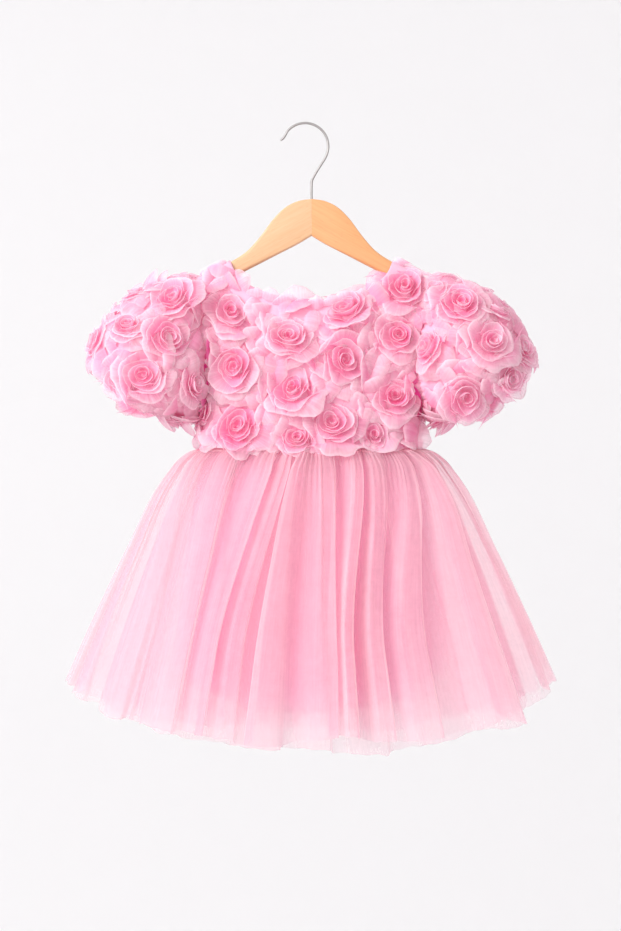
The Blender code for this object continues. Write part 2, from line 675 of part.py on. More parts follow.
def make_sleeve(name, hand, front_table):
    surface = sleeve_surface(hand)
    # The armhole edge uses the bodice's own levels, so that the two edges run side by side.
    step = SLEEVE_GIRTH / (2 * ARMHOLE_STEPS)
    armhole = [(k * step, 0.0) for k in range(2 * ARMHOLE_STEPS + 1)]
    cuff = [(SLEEVE_GIRTH * (1 - k / CUFF_STEPS), SLEEVE_LENGTH) for k in range(CUFF_STEPS + 1)]
    seam = np.linspace(0.0, SLEEVE_LENGTH, SLEEVE_SEAM_STEPS + 1)[1:-1]
    up = [(SLEEVE_GIRTH, v) for v in seam]
    down = [(0.0, v) for v in seam[::-1]]
    outline = armhole + up + cuff + down
    sewn = (
        [True] * (2 * ARMHOLE_STEPS)
        + [False] * (len(up) + 1)
        + [True] * CUFF_STEPS
        + [False] * (len(down) + 1)
    )
    spots = sleeve_spots(surface, front_table, hand, -1) + sleeve_spots(surface, SLEEVE_BACK, hand, 1)
    # A rosette that crosses the seam is there at both ends of the cut.
    wrapped = [(p + shift, *rest) for p, *rest in spots for shift in (-SLEEVE_GIRTH, SLEEVE_GIRTH)
               if -ROSETTE_REACH < p + shift < SLEEVE_GIRTH + ROSETTE_REACH]
    over_hanger = range(ARMHOLE_STEPS - HEAD_REACH, ARMHOLE_STEPS + HEAD_REACH + 1)
    head = np.array([(k * step, HEAD_ROW) for k in over_hanger])
    cloth_panel(name, surface, hand, outline, sewn, spots + wrapped, [head], PINK)


# ---------------------------------------------------------------- the skirt


def layer_length(turn, length):
    """How long a layer is beside the table's drop, at a turn round the waist from the middle of the front."""
    facing = np.cos(turn)
    front = (length["front"] - length["side"]) * np.clip(facing, 0, 1)
    back = (length["back"] - length["side"]) * np.clip(-facing, 0, 1)
    return length["side"] + front + back


def layer_shape(layer):
    """A layer's half width, front depth, back depth and wave at each row of the table, as columns."""
    table = {n: column(SKIRT, SKIRT_COLUMNS, n)[:, None] for n in SKIRT_COLUMNS}
    wave = table[layer + "_wave"]
    if layer == "lining":
        return table["lining_half_width"], table["lining_front"], table["lining_back"], wave
    inset = table["under_inset"] if layer == "under" else 0.0
    return table["half_width"] - inset, table["front"] - inset, table["back"] - inset, wave


def skirt_wall(name, layer, folds, length, wall, colour):
    """A gathered layer.  folds hold, for each column of points, its turns round the waist at the waist and
    at the hem, how far it stands out (-1 to 1, more on a big fold) and how much longer it hangs.  Each
    level is an oval with its own depth in front and behind, moved out along its normal by the wave."""
    at_waist, at_hem, waves, longer = folds
    rows = len(SKIRT)
    drop = column(SKIRT, SKIRT_COLUMNS, "drop")[:, None]
    half_width, front, back, wave = layer_shape(layer)
    turns = at_waist + (at_hem - at_waist) * np.clip(drop / drop.max() * FAN_OUT, 0, 1) ** FAN_EASE
    facing = np.cos(turns)
    half_depth = np.where(facing > 0, front, back)
    down = drop * layer_length(turns, length) + longer * (drop / drop.max()) ** 2
    x = half_width * np.sin(turns)
    y = -half_depth * facing
    z = WAIST_Z - SEAM_GAP - down
    normal = np.stack([np.sin(turns) / half_width, -facing / half_depth], axis=-1)
    normal /= np.linalg.norm(normal, axis=-1, keepdims=True)
    stand = wave * waves
    middle = np.stack([x + normal[..., 0] * stand, y + normal[..., 1] * stand, z], axis=-1)
    around = np.roll(middle, -1, axis=1) - np.roll(middle, 1, axis=1)
    level = np.stack([around[..., 1], -around[..., 0]], axis=-1)
    level /= np.linalg.norm(level, axis=-1, keepdims=True)
    inner = middle.copy()
    inner[..., :2] -= wall * level

    bm = bmesh.new()
    faces = [[[bm.verts.new(p) for p in row] for row in side] for side in (middle, inner)]
    columns = turns.shape[1]
    for i in range(columns):
        j = (i + 1) % columns
        for k in range(rows - 1):
            for verts, flip in ((faces[0], False), (faces[1], True)):
                a, b, c, d = verts[k][i], verts[k + 1][i], verts[k + 1][j], verts[k][j]
                for corners in ((a, b, c), (a, c, d)):
                    bm.faces.new(corners[::-1] if flip else corners)
        for k, flip in ((0, False), (rows - 1, True)):
            corners = [faces[0][k][i], faces[0][k][j], faces[1][k][j], faces[1][k][i]]
            bm.faces.new(corners[::-1] if flip else corners)
    return new_object(name, bm, colour)


def folds_to_columns(at_waist, at_hem, crests, recesses, longer, samples):
    """Columns of points from fold to fold.  Each runs from a crest down to the recess after it and up to
    the next crest by the square of (1 - cosine) / 2, so that crests are broad and recesses narrow."""
    k = np.arange(len(crests) * samples) // samples
    after = (k + 1) % len(crests)
    t = (np.arange(len(k)) % samples) / samples
    turns = [
        ridges[k] + (ridges[after] - ridges[k] + 2 * np.pi * (after == 0)) * t
        for ridges in (at_waist, at_hem)
    ]
    crest = crests[k] * (1 - t) + crests[after] * t
    sunk = ((1 - np.cos(2 * np.pi * t)) / 2) ** 2
    return *turns, crest - (crest + recesses[k]) * sunk, longer[k] * (1 - t) + longer[after] * t


def uneven(fold):
    """How far each fold that follows a rule stands out, and how much longer it hangs."""
    return 1 + UNEVEN_CREST * np.sin(CREST_STEP * fold), UNEVEN_LENGTH * np.sin(LENGTH_STEP * fold)


def even_folds(layer, count):
    """Folds all round a layer, nearly evenly spaced."""
    fold = np.arange(count)
    shift = UNEVEN_PLACE / SKIRT[-1][SKIRT_COLUMNS.index("half_width")] * np.sin(PLACE_STEP * fold)
    spread = 2 * np.pi * fold / count + shift
    ridges = spread - SIDE_DRAW * np.sin(2 * spread)
    crests, longer = uneven(fold)
    recesses = np.full(count, EVEN_RECESS)
    return folds_to_columns(ridges, ridges, crests, recesses, longer, SAMPLES_PER_FOLD[layer])


def outer_folds():
    """The outer layer's folds: the front's from the table, one at each side, and the back's by rule."""
    waist, hem = (row[SKIRT_COLUMNS.index("half_width")] for row in (SKIRT[0], SKIRT[-1]))
    front = {n: column(FRONT_FOLDS, FOLD_COLUMNS, n) for n in FOLD_COLUMNS}
    fold = np.arange(BACK_FOLDS)
    even_x = np.linspace(BACK_HEM_REACH, -BACK_HEM_REACH, BACK_FOLDS)
    back_x = even_x + UNEVEN_PLACE * np.sin(PLACE_STEP * fold)
    back = np.pi - np.arcsin(np.clip(back_x / hem, -1, 1))
    back_crests, back_longer = uneven(fold)
    sides = np.array([np.pi / 2]), np.array([3 * np.pi / 2])
    at_waist = np.concatenate([np.arcsin(front["waist_x"] / waist), sides[0], back, sides[1]])
    at_hem = np.concatenate([np.arcsin(front["hem_x"] / hem), sides[0], back, sides[1]])
    crests = np.concatenate([front["crest"], [SIDE_CREST], back_crests, [SIDE_CREST]])
    back_recesses = np.full(BACK_FOLDS, EVEN_RECESS)
    recesses = np.concatenate([front["recess"], [SIDE_RECESS], back_recesses, [SIDE_RECESS]])
    longer = np.concatenate([front["longer"], [0.0], back_longer, [0.0]])
    return folds_to_columns(at_waist, at_hem, crests, recesses, longer, SAMPLES_PER_FOLD["outer"])


def make_skirt():
    skirt_wall("skirt_tulle_outer", "outer", outer_folds(), OUTER_LENGTH, TULLE_WALL, PALE_PINK)
    skirt_wall("skirt_tulle_under", "under", even_folds("under", UNDER_FOLDS), UNDER_LENGTH, TULLE_WALL,
               PALE_PINK)
    skirt_wall("skirt_lining", "lining", even_folds("lining", LINING_FOLDS), LINING_LENGTH, LINING_WALL, PINK)


# ---------------------------------------------------------------- the hanger


def wood_section(top, underside, thickness, corner):
    """A level-sided section with round corners, as (y, z) points."""
    points = []
    half = thickness / 2
    for k, (y, z) in enumerate(((1, 1), (-1, 1), (-1, -1), (1, -1))):
        middle = (y * (half - corner), (top - corner) if z > 0 else (underside + corner))
        for s in range(CORNER_STEPS + 1):
            angle = np.pi / 2 * (k + s / CORNER_STEPS)
            points.append((middle[0] + corner * np.cos(angle), middle[1] + corner * np.sin(angle)))
    return points


def make_hanger_half(name, hand, colour, socket):
    bm = bmesh.new()
    rings = []
    for out, top, underside, thickness, corner in WOOD:
        section = wood_section(top, underside, thickness, corner)
        rings.append([bm.verts.new((hand * out, y, z)) for y, z in section])
    count = len(rings[0])
    for near, far in zip(rings, rings[1:]):
        for i in range(count):
            j = (i + 1) % count
            bm.faces.new((near[i], near[j], far[j], far[i]))
    bm.faces.new(rings[0])
    bm.faces.new(rings[-1])
    bmesh.ops.recalc_face_normals(bm, faces=bm.faces)
    obj = new_object(name, bm, colour, roughness=0.5)
    cut = obj.modifiers.new("socket", "BOOLEAN")
    cut.operation = "DIFFERENCE"
    cut.object = socket


def make_socket():
    """The bored hole for the hook's stem, half in each half of the wood: a guide, not a piece."""
    bm = bmesh.new()
    floor_z = WOOD[0][1] - SOCKET_DEPTH - SEAM_GAP
    top_z = WOOD[0][1] + SOCKET_OVERRUN
    radius = WIRE / 2 + SEAM_GAP
    bmesh.ops.create_cone(bm, cap_ends=True, segments=SOCKET_SIDES, radius1=radius, radius2=radius,
                          depth=top_z - floor_z)
    bmesh.ops.translate(bm, verts=bm.verts, vec=(0.0, 0.0, (top_z + floor_z) / 2))
    socket = new_object("socket", bm, BEECH_DARK)
    socket.hide_render = True
    socket.display_type = "WIRE"
    return socket


def hook_path():
    """The wire's middle line: stem, bend, arch and out-turned tip, in (x, z) from the mount."""
    turn = np.radians(np.linspace(ARCH_FROM_DEG, ARCH_TO_DEG, ARCH_STEPS))
    centre_z = WIRE / 2 - ARCH_RADIUS
    arch = [(ARCH_RADIUS * np.cos(t), centre_z + ARCH_RADIUS * np.sin(t)) for t in turn]
    corners = np.array(HOOK_STEM + arch + HOOK_TIP)
    along = np.arange(len(corners), dtype=float)
    fine = np.linspace(0.0, along[-1], WIRE_POINTS)
    return np.stack([smooth_between(fine, along, corners[:, axis]) for axis in (0, 1)], axis=1)


def make_hook():
    curve = bpy.data.curves.new("hanger_hook", "CURVE")
    curve.dimensions = "3D"
    curve.bevel_depth = WIRE / 2 * MILLIMETRE
    curve.bevel_resolution = WIRE_SIDES_RESOLUTION
    curve.use_fill_caps = True
    path = hook_path()
    spline = curve.splines.new("POLY")
    spline.points.add(len(path) - 1)
    for point, (x, z) in zip(spline.points, path):
        point.co = (x * MILLIMETRE, 0.0, z * MILLIMETRE, 1.0)
    obj = bpy.data.objects.new("hanger_hook", curve)
    bpy.context.scene.collection.objects.link(obj)
    curve.materials.append(new_material("hanger_hook", STEEL, 0.3, 1.0))


def main():
    for obj in list(bpy.data.objects):
        bpy.data.objects.remove(obj)
    make_bodice()
    make_sleeve("sleeve_left", -1, LEFT_SLEEVE_FRONT)
    make_sleeve("sleeve_right", 1, RIGHT_SLEEVE_FRONT)
    make_skirt()
    socket = make_socket()
    make_hanger_half("hanger_wood_left", -1, BEECH_LIGHT, socket)
    make_hanger_half("hanger_wood_right", 1, BEECH_DARK, socket)
    make_hook()


main()
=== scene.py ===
"""The looks of a toddler party dress on a wooden hanger.

The bodice and the puff sleeves are net covered in rolled chiffon roses, and the skirt is two layers of
gathered tulle over a lining.  Sizes are in millimetres, from the middle of the garment, and become metres
in the frame when a mesh is made.  The front faces -Y.
"""

import bpy
import numpy as np
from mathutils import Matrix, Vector


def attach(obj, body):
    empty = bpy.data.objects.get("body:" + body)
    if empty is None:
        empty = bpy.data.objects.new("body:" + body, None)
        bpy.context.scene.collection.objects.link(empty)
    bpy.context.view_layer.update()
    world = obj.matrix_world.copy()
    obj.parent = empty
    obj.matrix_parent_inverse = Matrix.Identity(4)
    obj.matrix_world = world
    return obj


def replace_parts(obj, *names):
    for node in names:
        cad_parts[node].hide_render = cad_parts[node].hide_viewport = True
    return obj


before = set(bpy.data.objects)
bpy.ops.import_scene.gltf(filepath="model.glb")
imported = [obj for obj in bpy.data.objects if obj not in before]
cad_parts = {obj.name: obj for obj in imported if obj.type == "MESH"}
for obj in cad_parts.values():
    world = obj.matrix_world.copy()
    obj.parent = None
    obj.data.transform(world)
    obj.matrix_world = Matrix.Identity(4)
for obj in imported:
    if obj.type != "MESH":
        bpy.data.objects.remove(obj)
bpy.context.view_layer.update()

MILLIMETRE = 0.001
CENTRE_X = 7.4  # the garment's middle, to the right of the hook's arch

# ---------------------------------------------------------------- sizes


def named(columns, rows):
    """A table's columns by their names, each as an array."""
    return dict(zip(columns.split(), np.array(rows).T))


WAIST_Z = -368.0
UNDERARM_Z = -324.0
NECK_POINT_Z = -153.5
NECK_DROP = 46.5
NECK_HALF_WIDTH = 91.0
SHOULDER_OUT = 132.0
SHOULDER_SLOPE = 0.524
SHOULDER_ROUND = 8.0
SHOULDER_TO_CHEST = 100.0
ARC_SCALE = 120.0

BODICE = named("z half_width half_depth", [
    (-368, 126, 32),
    (-346, 124, 32),
    (-324, 122, 32),
    (-300, 131, 32),
    (-270, 155, 31),
    (-240, 185, 30),
    (-200, 220, 30),
    (-140, 245, 30),
])
ARMHOLE = named("z out", [
    (-324, 122),
    (-311, 117),
    (-295, 114.5),
    (-265, 114),
    (-235, 117),
    (-205, 123),
    (-175, 132),
])
SLEEVE = named("along out z tip_deg half_height half_depth", [
    (0.0, 122, -250, 0, 74, 30),
    (0.22, 141, -250, 8, 73, 44),
    (0.5, 169, -263, 28, 72, 54),
    (0.78, 191, -286, 45, 66, 52),
    (1.0, 215, -300, 54, 43, 36),
])
SLEEVE_LENGTH = 150.0
SLEEVE_GIRTH = 420.0
HEAD_BLEND = 0.2
HEAD_RISE = 60.0

SKIRT = named("drop half_width front back outer_wave under_inset under_wave lining_half_width lining_front "
              "lining_back lining_wave", [
    (0, 126, 32, 32, 0.7, 3, 0.5, 120.4, 26.4, 26.4, 0),
    (3, 133, 37, 36, 2, 6, 1.4, 121, 26, 25.5, 0),
    (12, 146, 46, 42, 3, 9, 2, 122.5, 27, 25, 0.6),
    (27, 158, 56, 49, 4, 12, 2.8, 125, 30, 24, 1.5),
    (112, 203, 84, 61, 6.5, 18, 5, 138, 48, 25, 3),
    (187, 237, 101, 69, 8.5, 22, 6.4, 147, 56, 24, 4),
    (263, 268, 113, 77, 10, 25, 7.2, 153, 58, 22, 5),
])

# The roses.  out and z place the middle of each as the front or the back view shows it.
# Columns: out, z, radius, height, turn_deg.
FRONT_ROSES = [
    (-90, -214, 27, 15, 20),
    (-25, -240, 29, 16, 140),
    (35, -210, 30, 16, 260),
    (101, -184, 32, 17, 75),
    (94, -240, 27, 15, 200),
    (-88, -278, 31, 17, 310),
    (-20, -299, 32, 17, 45),
    (39, -268, 32, 17, 170),
    (90, -308, 28, 16, 285),
    (-77, -342, 34, 17, 100),
    (-19, -354, 20, 12, 220),
    (25, -336, 34, 17, 340),
    (70, -352, 21, 12, 60),
    (-121, -322, 17, 10, 30),
]
BACK_ROSES = [
    (98, -188, 29, 15, 15),
    (37, -233, 31, 16, 130),
    (93, -242, 30, 16, 275),
    (31, -289, 32, 17, 50),
    (87, -298, 31, 16, 205),
    (31, -342, 29, 15, 320),
    (88, -348, 28, 14, 95),
    (119, -322, 19, 10, 160),
]
LEFT_SLEEVE_ROSES = [
    (157, -201, 30, 16, 10),
    (200, -232, 23, 14, 150),
    (160, -244, 28, 15, 230),
    (183, -284, 34, 17, 80),
    (241, -250, 22, 13, 300),
    (133, -293, 22, 14, 190),
    (158, -334, 23, 12, 40),
    (196, -196, 18, 10, 110),
    (214, -290, 20, 12, 270),
]
RIGHT_SLEEVE_ROSES = [
    (166, -209, 30, 16, 35),
    (134, -254, 24, 15, 125),
    (200, -249, 32, 16, 245),
    (170, -309, 32, 17, 330),
    (222, -287, 23, 13, 60),
    (236, -256, 19, 11, 180),
    (205, -213, 18, 10, 290),
    (141, -190, 16, 9, 95),
    (148, -333, 19, 11, 15),
]
BACK_SLEEVE_ROSES = [
    (149, -208, 30, 16, 70),
    (197, -218, 29, 15, 215),
    (158, -258, 31, 16, 325),
    (212, -266, 31, 16, 120),
    (153, -307, 28, 15, 20),
    (198, -308, 26, 13, 265),
]

# Single petals between the roses, placed in the front view.  turn_deg is the way of the sewn edge, with
# the free edge to its left.
# Columns: out, z, turn_deg, length, width, lift, sheer.
FRONT_PETALS = [
    (-16, -197, 5, 42, 16, 3, 0.65),
    (-16.5, -208, 199, 42, 16, 8, 0.1),
    (-89, -238, 176, 42, 17, 9, 0.1),
    (-112, -163, 28, 34, 17, 3, 0.2),
    (-102, -166, 170, 36, 15, 2, 0.2),
    (-107, -181, 205, 36, 16, 4, 0.15),
    (-92, -178, -48, 34, 12, 3, 0.25),
    (-118, -178, 80, 30, 12, 4, 0.2),
    (-54, -301, 95, 38, 8, 9, 0.15),
    (-45, -296, 100, 32, 7, 8, 0.15),
    (1, -270, 118, 32, 9, 8, 0.15),
    (7, -316, 85, 50, 10, 8, 0.15),
    (61, -282, 88, 52, 11, 8, 0.15),
    (59, -322, 100, 34, 13, 7, 0.2),
    (82, -361, 205, 44, 17, 10, 0.1),
    (-66, -363, 190, 38, 14, 8, 0.1),
    (7, -362, 268, 36, 19, 9, 0.2),
    (-114, -358, 150, 36, 17, 7, 0.25),
    (-52, -230, 100, 44, 11, 7, 0.2),
    (76, -198, -50, 46, 19, 6, 0.25),
    (63, -246, 75, 46, 15, 7, 0.25),
    (29, -245, 172, 46, 17, 6, 0.25),
    (108, -302, 95, 46, 13, 8, 0.2),
    (112, -350, 80, 40, 20, 6, 0.25),
    (104, -157, 40, 28, 14, 4, 0.45),
    (-110, -268, 92, 34, 8, 8, 0.15),
    (-58, -262, 20, 32, 13, 5, 0.3),
    (-55, -330, 78, 36, 12, 6, 0.25),
    (58, -353, 100, 32, 13, 7, 0.2),
    # painted shade: petals of the deepest pink in the gap where the sleeves meet the bodice
    (-116, -302, 82, 26, 8, 11, -0.1),
    (-118, -316, 98, 24, 9, 11, -0.1),
    (-113, -250, 88, 20, 6, 8, -0.1),
    (114, -318, 80, 24, 9, 10, -0.1),
]
LEFT_SLEEVE_PETALS = [
    (182, -182, 15, 42, 24, 15, 0.5),
    (170, -176, 5, 40, 20, 12, 0.5),
    (197, -195, 35, 40, 20, 9, 0.55),
    (165, -333, 188, 48, 26, 15, 0.45),
    (147, -333, 172, 40, 24, 15, 0.4),
    (200, -327, 150, 42, 24, 3, 0.6),
    (234, -276, 105, 40, 15, 8, 0.25),
    (251, -272, 70, 34, 14, 6, 0.35),
    (167, -252, -65, 44, 20, 7, 0.15),
    (136, -306, -60, 42, 22, 7, 0.15),
    (158, -320, 60, 40, 13, 7, 0.2),
    (200, -306, -50, 44, 20, 7, 0.2),
    (151, -170, 5, 38, 13, 5, 0.35),
    (136, -216, 110, 36, 11, 8, 0.2),
    (174, -345, 185, 36, 16, 5, 0.45),
    # painted shade: petals of the deepest pink in the gap where the sleeve meets the bodice
    (124, -300, 80, 26, 11, 7, -0.1),
    (123, -310, 110, 24, 11, 8, -0.1),
    (121, -320, 60, 22, 10, 8, -0.1),
    (119, -262, 95, 22, 8, 6, -0.1),
]
RIGHT_SLEEVE_PETALS = [
    (197, -272, 183, 50, 18, 8, 0.1),
    (213, -291, 225, 40, 17, 6, 0.2),
    (167, -248, 80, 34, 10, 7, 0.15),
    (155, -280, 30, 38, 13, 7, 0.15),
    (187, -183, -15, 40, 18, 4, 0.5),
    (199, -207, -60, 38, 19, 6, 0.25),
    (225, -225, -45, 46, 22, 5, 0.3),
    (254, -262, -20, 36, 14, 7, 0.35),
    (256, -274, -60, 34, 13, 7, 0.4),
    (166, -334, 190, 50, 26, 16, 0.4),
    (148, -334, 175, 42, 24, 16, 0.4),
    (195, -322, -60, 38, 15, 7, 0.3),
    (221, -306, 30, 36, 15, 6, 0.3),
    (127, -217, 95, 34, 11, 8, 0.15),
    # painted shade: petals of the deepest pink in the gap where the sleeve meets the bodice
    (118, -307, 105, 26, 9, 13, -0.1),
    (117, -322, 80, 24, 10, 13, -0.1),
]


# ---------------------------------------------------------------- arithmetic


def smooth_between(value, places, heights):
    """A smooth curve through (places, heights): cubic pieces whose slopes come from their neighbours."""
    slopes = np.gradient(heights, places)
    value = np.clip(value, places[0], places[-1])
    i = np.clip(np.searchsorted(places, value) - 1, 0, len(places) - 2)
    width = places[i + 1] - places[i]
    t = (value - places[i]) / width
    start, end = heights[i], heights[i + 1]
    return (
        start * (1 + 2 * t) * (1 - t) ** 2
        + end * t * t * (3 - 2 * t)
        + width * (slopes[i] * t * (1 - t) ** 2 - slopes[i + 1] * t * t * (1 - t))
    )


def read_off(table, by, value, name):
    """The smooth value of a column where the column called by has the given value."""
    return smooth_between(value, table[by], table[name])


def smooth_step(t):
    """0 to 1 with level ends."""
    t = np.clip(t, 0.0, 1.0)
    return t * t * (3 - 2 * t)


def unit(v):
    """Vectors along the last axis, made one long."""
    return v / np.maximum(np.linalg.norm(v, axis=-1, keepdims=True), 1e-9)


# ---------------------------------------------------------------- the cloth's surfaces


def shoulder_line(out):
    """Height of the shoulder seam at a distance out from the middle."""
    return NECK_POINT_Z - SHOULDER_SLOPE * (np.clip(out, NECK_HALF_WIDTH, None) - NECK_HALF_WIDTH)


def top_edge(x):
    """Height of the bodice's top edge: the neckline's arc, and the shoulder line outside it."""
    inside = np.clip(1 - (x / NECK_HALF_WIDTH) ** 2, 0.0, None)
    return np.where(inside > 0, NECK_POINT_Z - NECK_DROP * np.sqrt(inside), shoulder_line(np.abs(x)))


def bodice_surface(side):
    """The bodice's outer face at (arc, z), -1 in front and 1 behind: half an oval on each level, whose
    depth closes over the hanger near the shoulders."""

    def surface(arc, z):
        angle = np.clip(arc / ARC_SCALE, -np.pi / 2, np.pi / 2)
        x = read_off(BODICE, "z", z, "half_width") * np.sin(angle)
        fall = np.clip(shoulder_line(np.abs(x)) - z, 0.0, None)
        fold = 1 - (1 - np.clip(fall / SHOULDER_ROUND, 0.0, 1.0)) ** 3
        depth = SHOULDER_ROUND * np.cbrt(fold)
        chest = read_off(BODICE, "z", z, "half_depth")
        depth = depth + (chest - SHOULDER_ROUND) * smooth_step(fall / SHOULDER_TO_CHEST)
        depth = depth * np.clip(np.cos(angle), 0.0, 1.0) ** np.clip(fall / SHOULDER_TO_CHEST, 0.0, 1.0)
        return np.stack([x, side * depth, z + 0 * x], axis=-1)

    return surface


def bodice_arc(x, z):
    """The arc that puts the bodice's surface at x on the level z."""
    half_width = read_off(BODICE, "z", z, "half_width")
    return ARC_SCALE * np.arcsin(np.clip(x / half_width, -1.0, 1.0))


def armhole_out(z):
    """How far out the armhole's edge is at a level."""
    return read_off(ARMHOLE, "z", z, "out")


def sleeve_surface(hand):
    """The sleeve's outer face at (girth, length): it starts as the armhole's outline and turns into ovals
    that tip towards the floor.  hand is -1 for the left of the view and 1 for the right."""
    top = shoulder_line(np.array(SHOULDER_OUT))
    front = bodice_surface(-1)

    def surface(girth, length):
        turn = np.pi + 2 * np.pi * girth / SLEEVE_GIRTH
        along = np.clip(length / SLEEVE_LENGTH, 0.0, 1.0)
        ring = {name: read_off(SLEEVE, "along", along, name) for name in SLEEVE}
        tip = np.radians(ring["tip_deg"])
        up = ring["half_height"] * np.cos(turn)
        oval = [
            ring["out"] + up * np.sin(tip),
            -ring["half_depth"] * np.sin(turn),
            ring["z"] + up * np.cos(tip),
        ]
        level = (top + UNDERARM_Z) / 2 + (top - UNDERARM_Z) / 2 * np.cos(turn)
        out = armhole_out(level)
        depth = -front(bodice_arc(out, level), level)[..., 1]
        front_or_back = np.sign(np.round(np.sin(turn), 6))
        edge = [out + HEAD_RISE * along, -depth * front_or_back, level]
        share = smooth_step(along / HEAD_BLEND)
        x, y, z = (a * (1 - share) + b * share for a, b in zip(edge, oval))
        return np.stack([hand * x, y, z], axis=-1)

    return surface


def normals_of(surface, p, q, outward):
    """Unit normals of a surface at its points (p, q), from its slopes both ways.  outward is 1 or -1."""
    step = 0.05
    along_p = surface(p + step, q) - surface(p - step, q)
    along_q = surface(p, q + step) - surface(p, q - step)
    return unit(outward * np.cross(along_p, along_q))


# ---------------------------------------------------------------- making meshes


def grid_faces(rows, columns, closed=False, flipped=False):
    """Quads over a grid of points, row by row.  closed joins the last column to the first, and flipped
    turns the quads' other side outwards."""
    row = np.arange(rows - 1)[:, None] * columns
    near = np.arange(columns if closed else columns - 1)[None, :]
    far = (near + 1) % columns
    corners = [row + near, row + far, row + columns + far, row + columns + near]
    return np.stack(corners[::-1] if flipped else corners, axis=-1).reshape(-1, 4)


def new_object(name, data):
    """An object in the scene for a mesh, a light or a camera."""
    obj = bpy.data.objects.new(name, data)
    bpy.context.scene.collection.objects.link(obj)
    return obj


def new_piece(name, points, faces, material, slot, uv=None, **values):
    """A named mesh from points in millimetres and quads, with a value on each point for every named
    attribute.  It rides on the root body."""
    mesh = bpy.data.meshes.new(name)
    placed = (points.reshape(-1, 3) + [CENTRE_X, 0.0, 0.0]) * MILLIMETRE
    faces = np.asarray(faces, dtype=np.int32)
    mesh.vertices.add(len(placed))
    mesh.vertices.foreach_set("co", placed.astype(np.float32).ravel())
    mesh.loops.add(faces.size)
    mesh.loops.foreach_set("vertex_index", faces.ravel())
    mesh.polygons.add(len(faces))
    mesh.polygons.foreach_set("loop_start", np.arange(0, faces.size, 4, dtype=np.int32))
    mesh.polygons.foreach_set("use_smooth", np.ones(len(faces), dtype=bool))
    mesh.update(calc_edges=True)
    for key, value in values.items():
        layer = mesh.attributes.new(key, "FLOAT", "POINT")
        layer.data.foreach_set("value", np.asarray(value, dtype=np.float32).ravel())
    if uv is not None:
        layer = mesh.uv_layers.new(name="cloth")
        layer.data.foreach_set("uv", uv.reshape(-1, 2)[faces.ravel()].astype(np.float32).ravel())
    mesh.materials.append(material)
    obj = new_object(name, mesh)
    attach(obj, "root")
    return obj


def joined(parts):
    """Several (points, faces, values) as one: the faces of each count on from the points before it."""
    points, faces, values = zip(*parts)
    starts = np.cumsum([0] + [p.reshape(-1, 3).shape[0] for p in points[:-1]])
    merged = {k: np.concatenate([v[k].ravel() for v in values]) for k in values[0]}
    return (
        np.concatenate([p.reshape(-1, 3) for p in points]),
        np.concatenate([f + s for f, s in zip(faces, starts)]),
        merged,
    )


# ---------------------------------------------------------------- materials


class Shader:
    """A new material and its nodes.  Each method adds a node, and gives what comes out of it."""

    def __init__(self, name):
        self.material = bpy.data.materials.new(name)
        self.material.use_nodes = True
        self.tree = self.material.node_tree
        self.tree.nodes.clear()

    def add(self, kind, settings=None, **inputs):
        """A node with the given settings and inputs.  i and a number names an input by its place."""
        node = self.tree.nodes.new("ShaderNode" + kind)
        for key, value in (settings or {}).items():
            setattr(node, key, value)
        for key, value in inputs.items():
            socket = node.inputs[int(key[1:])] if key[1:].isdigit() else node.inputs[key.replace("_", " ")]
            if isinstance(value, bpy.types.NodeSocket):
                self.tree.links.new(value, socket)
            else:
                socket.default_value = value
        return node.outputs

    def place(self, kind="Object"):
        """Where on the piece a point lies: its Object coordinates, or the cloth's own UV."""
        return self.add("TexCoord")[kind]

    def stretched(self, where, scale, turn=0.0):
        """Coordinates turned about Y and scaled."""
        return self.add("Mapping", Vector=where, Scale=scale, Rotation=(0.0, turn, 0.0))[0]

    def carried(self, name):
        """The value that the mesh carries under a name."""
        return self.add("Attribute", {"attribute_name": name})["Fac"]

    def noise(self, where, scale, detail, roughness=0.5, distortion=0.0):
        """Cloudy noise from 0 to 1."""
        return self.add("TexNoise", Vector=where, Scale=scale, Detail=detail, Roughness=roughness,
                        Distortion=distortion)["Fac"]

    def number(self, operation, first, second=0.0, clamp=False):
        """The result of a sum on two numbers."""
        return self.add("Math", {"operation": operation, "use_clamp": clamp}, i0=first, i1=second)[0]

    def scaled(self, value, by, plus, clamp=False):
        """A value times one number and plus another."""
        settings = {"operation": "MULTIPLY_ADD", "use_clamp": clamp}
        return self.add("Math", settings, i0=value, i1=by, i2=plus)[0]

    def colour(self, share, first, second):
        """A colour between two others."""
        return self.add("Mix", {"data_type": "RGBA"}, i0=share, i6=first, i7=second)[2]

    def mixed(self, share, first, second):
        """A shader between two others."""
        return self.add("MixShader", i0=share, i1=first, i2=second)[0]

    def finished(self, surface):
        """Puts the shader on the material, and gives the material."""
        self.add("OutputMaterial", Surface=surface)
        return self.material


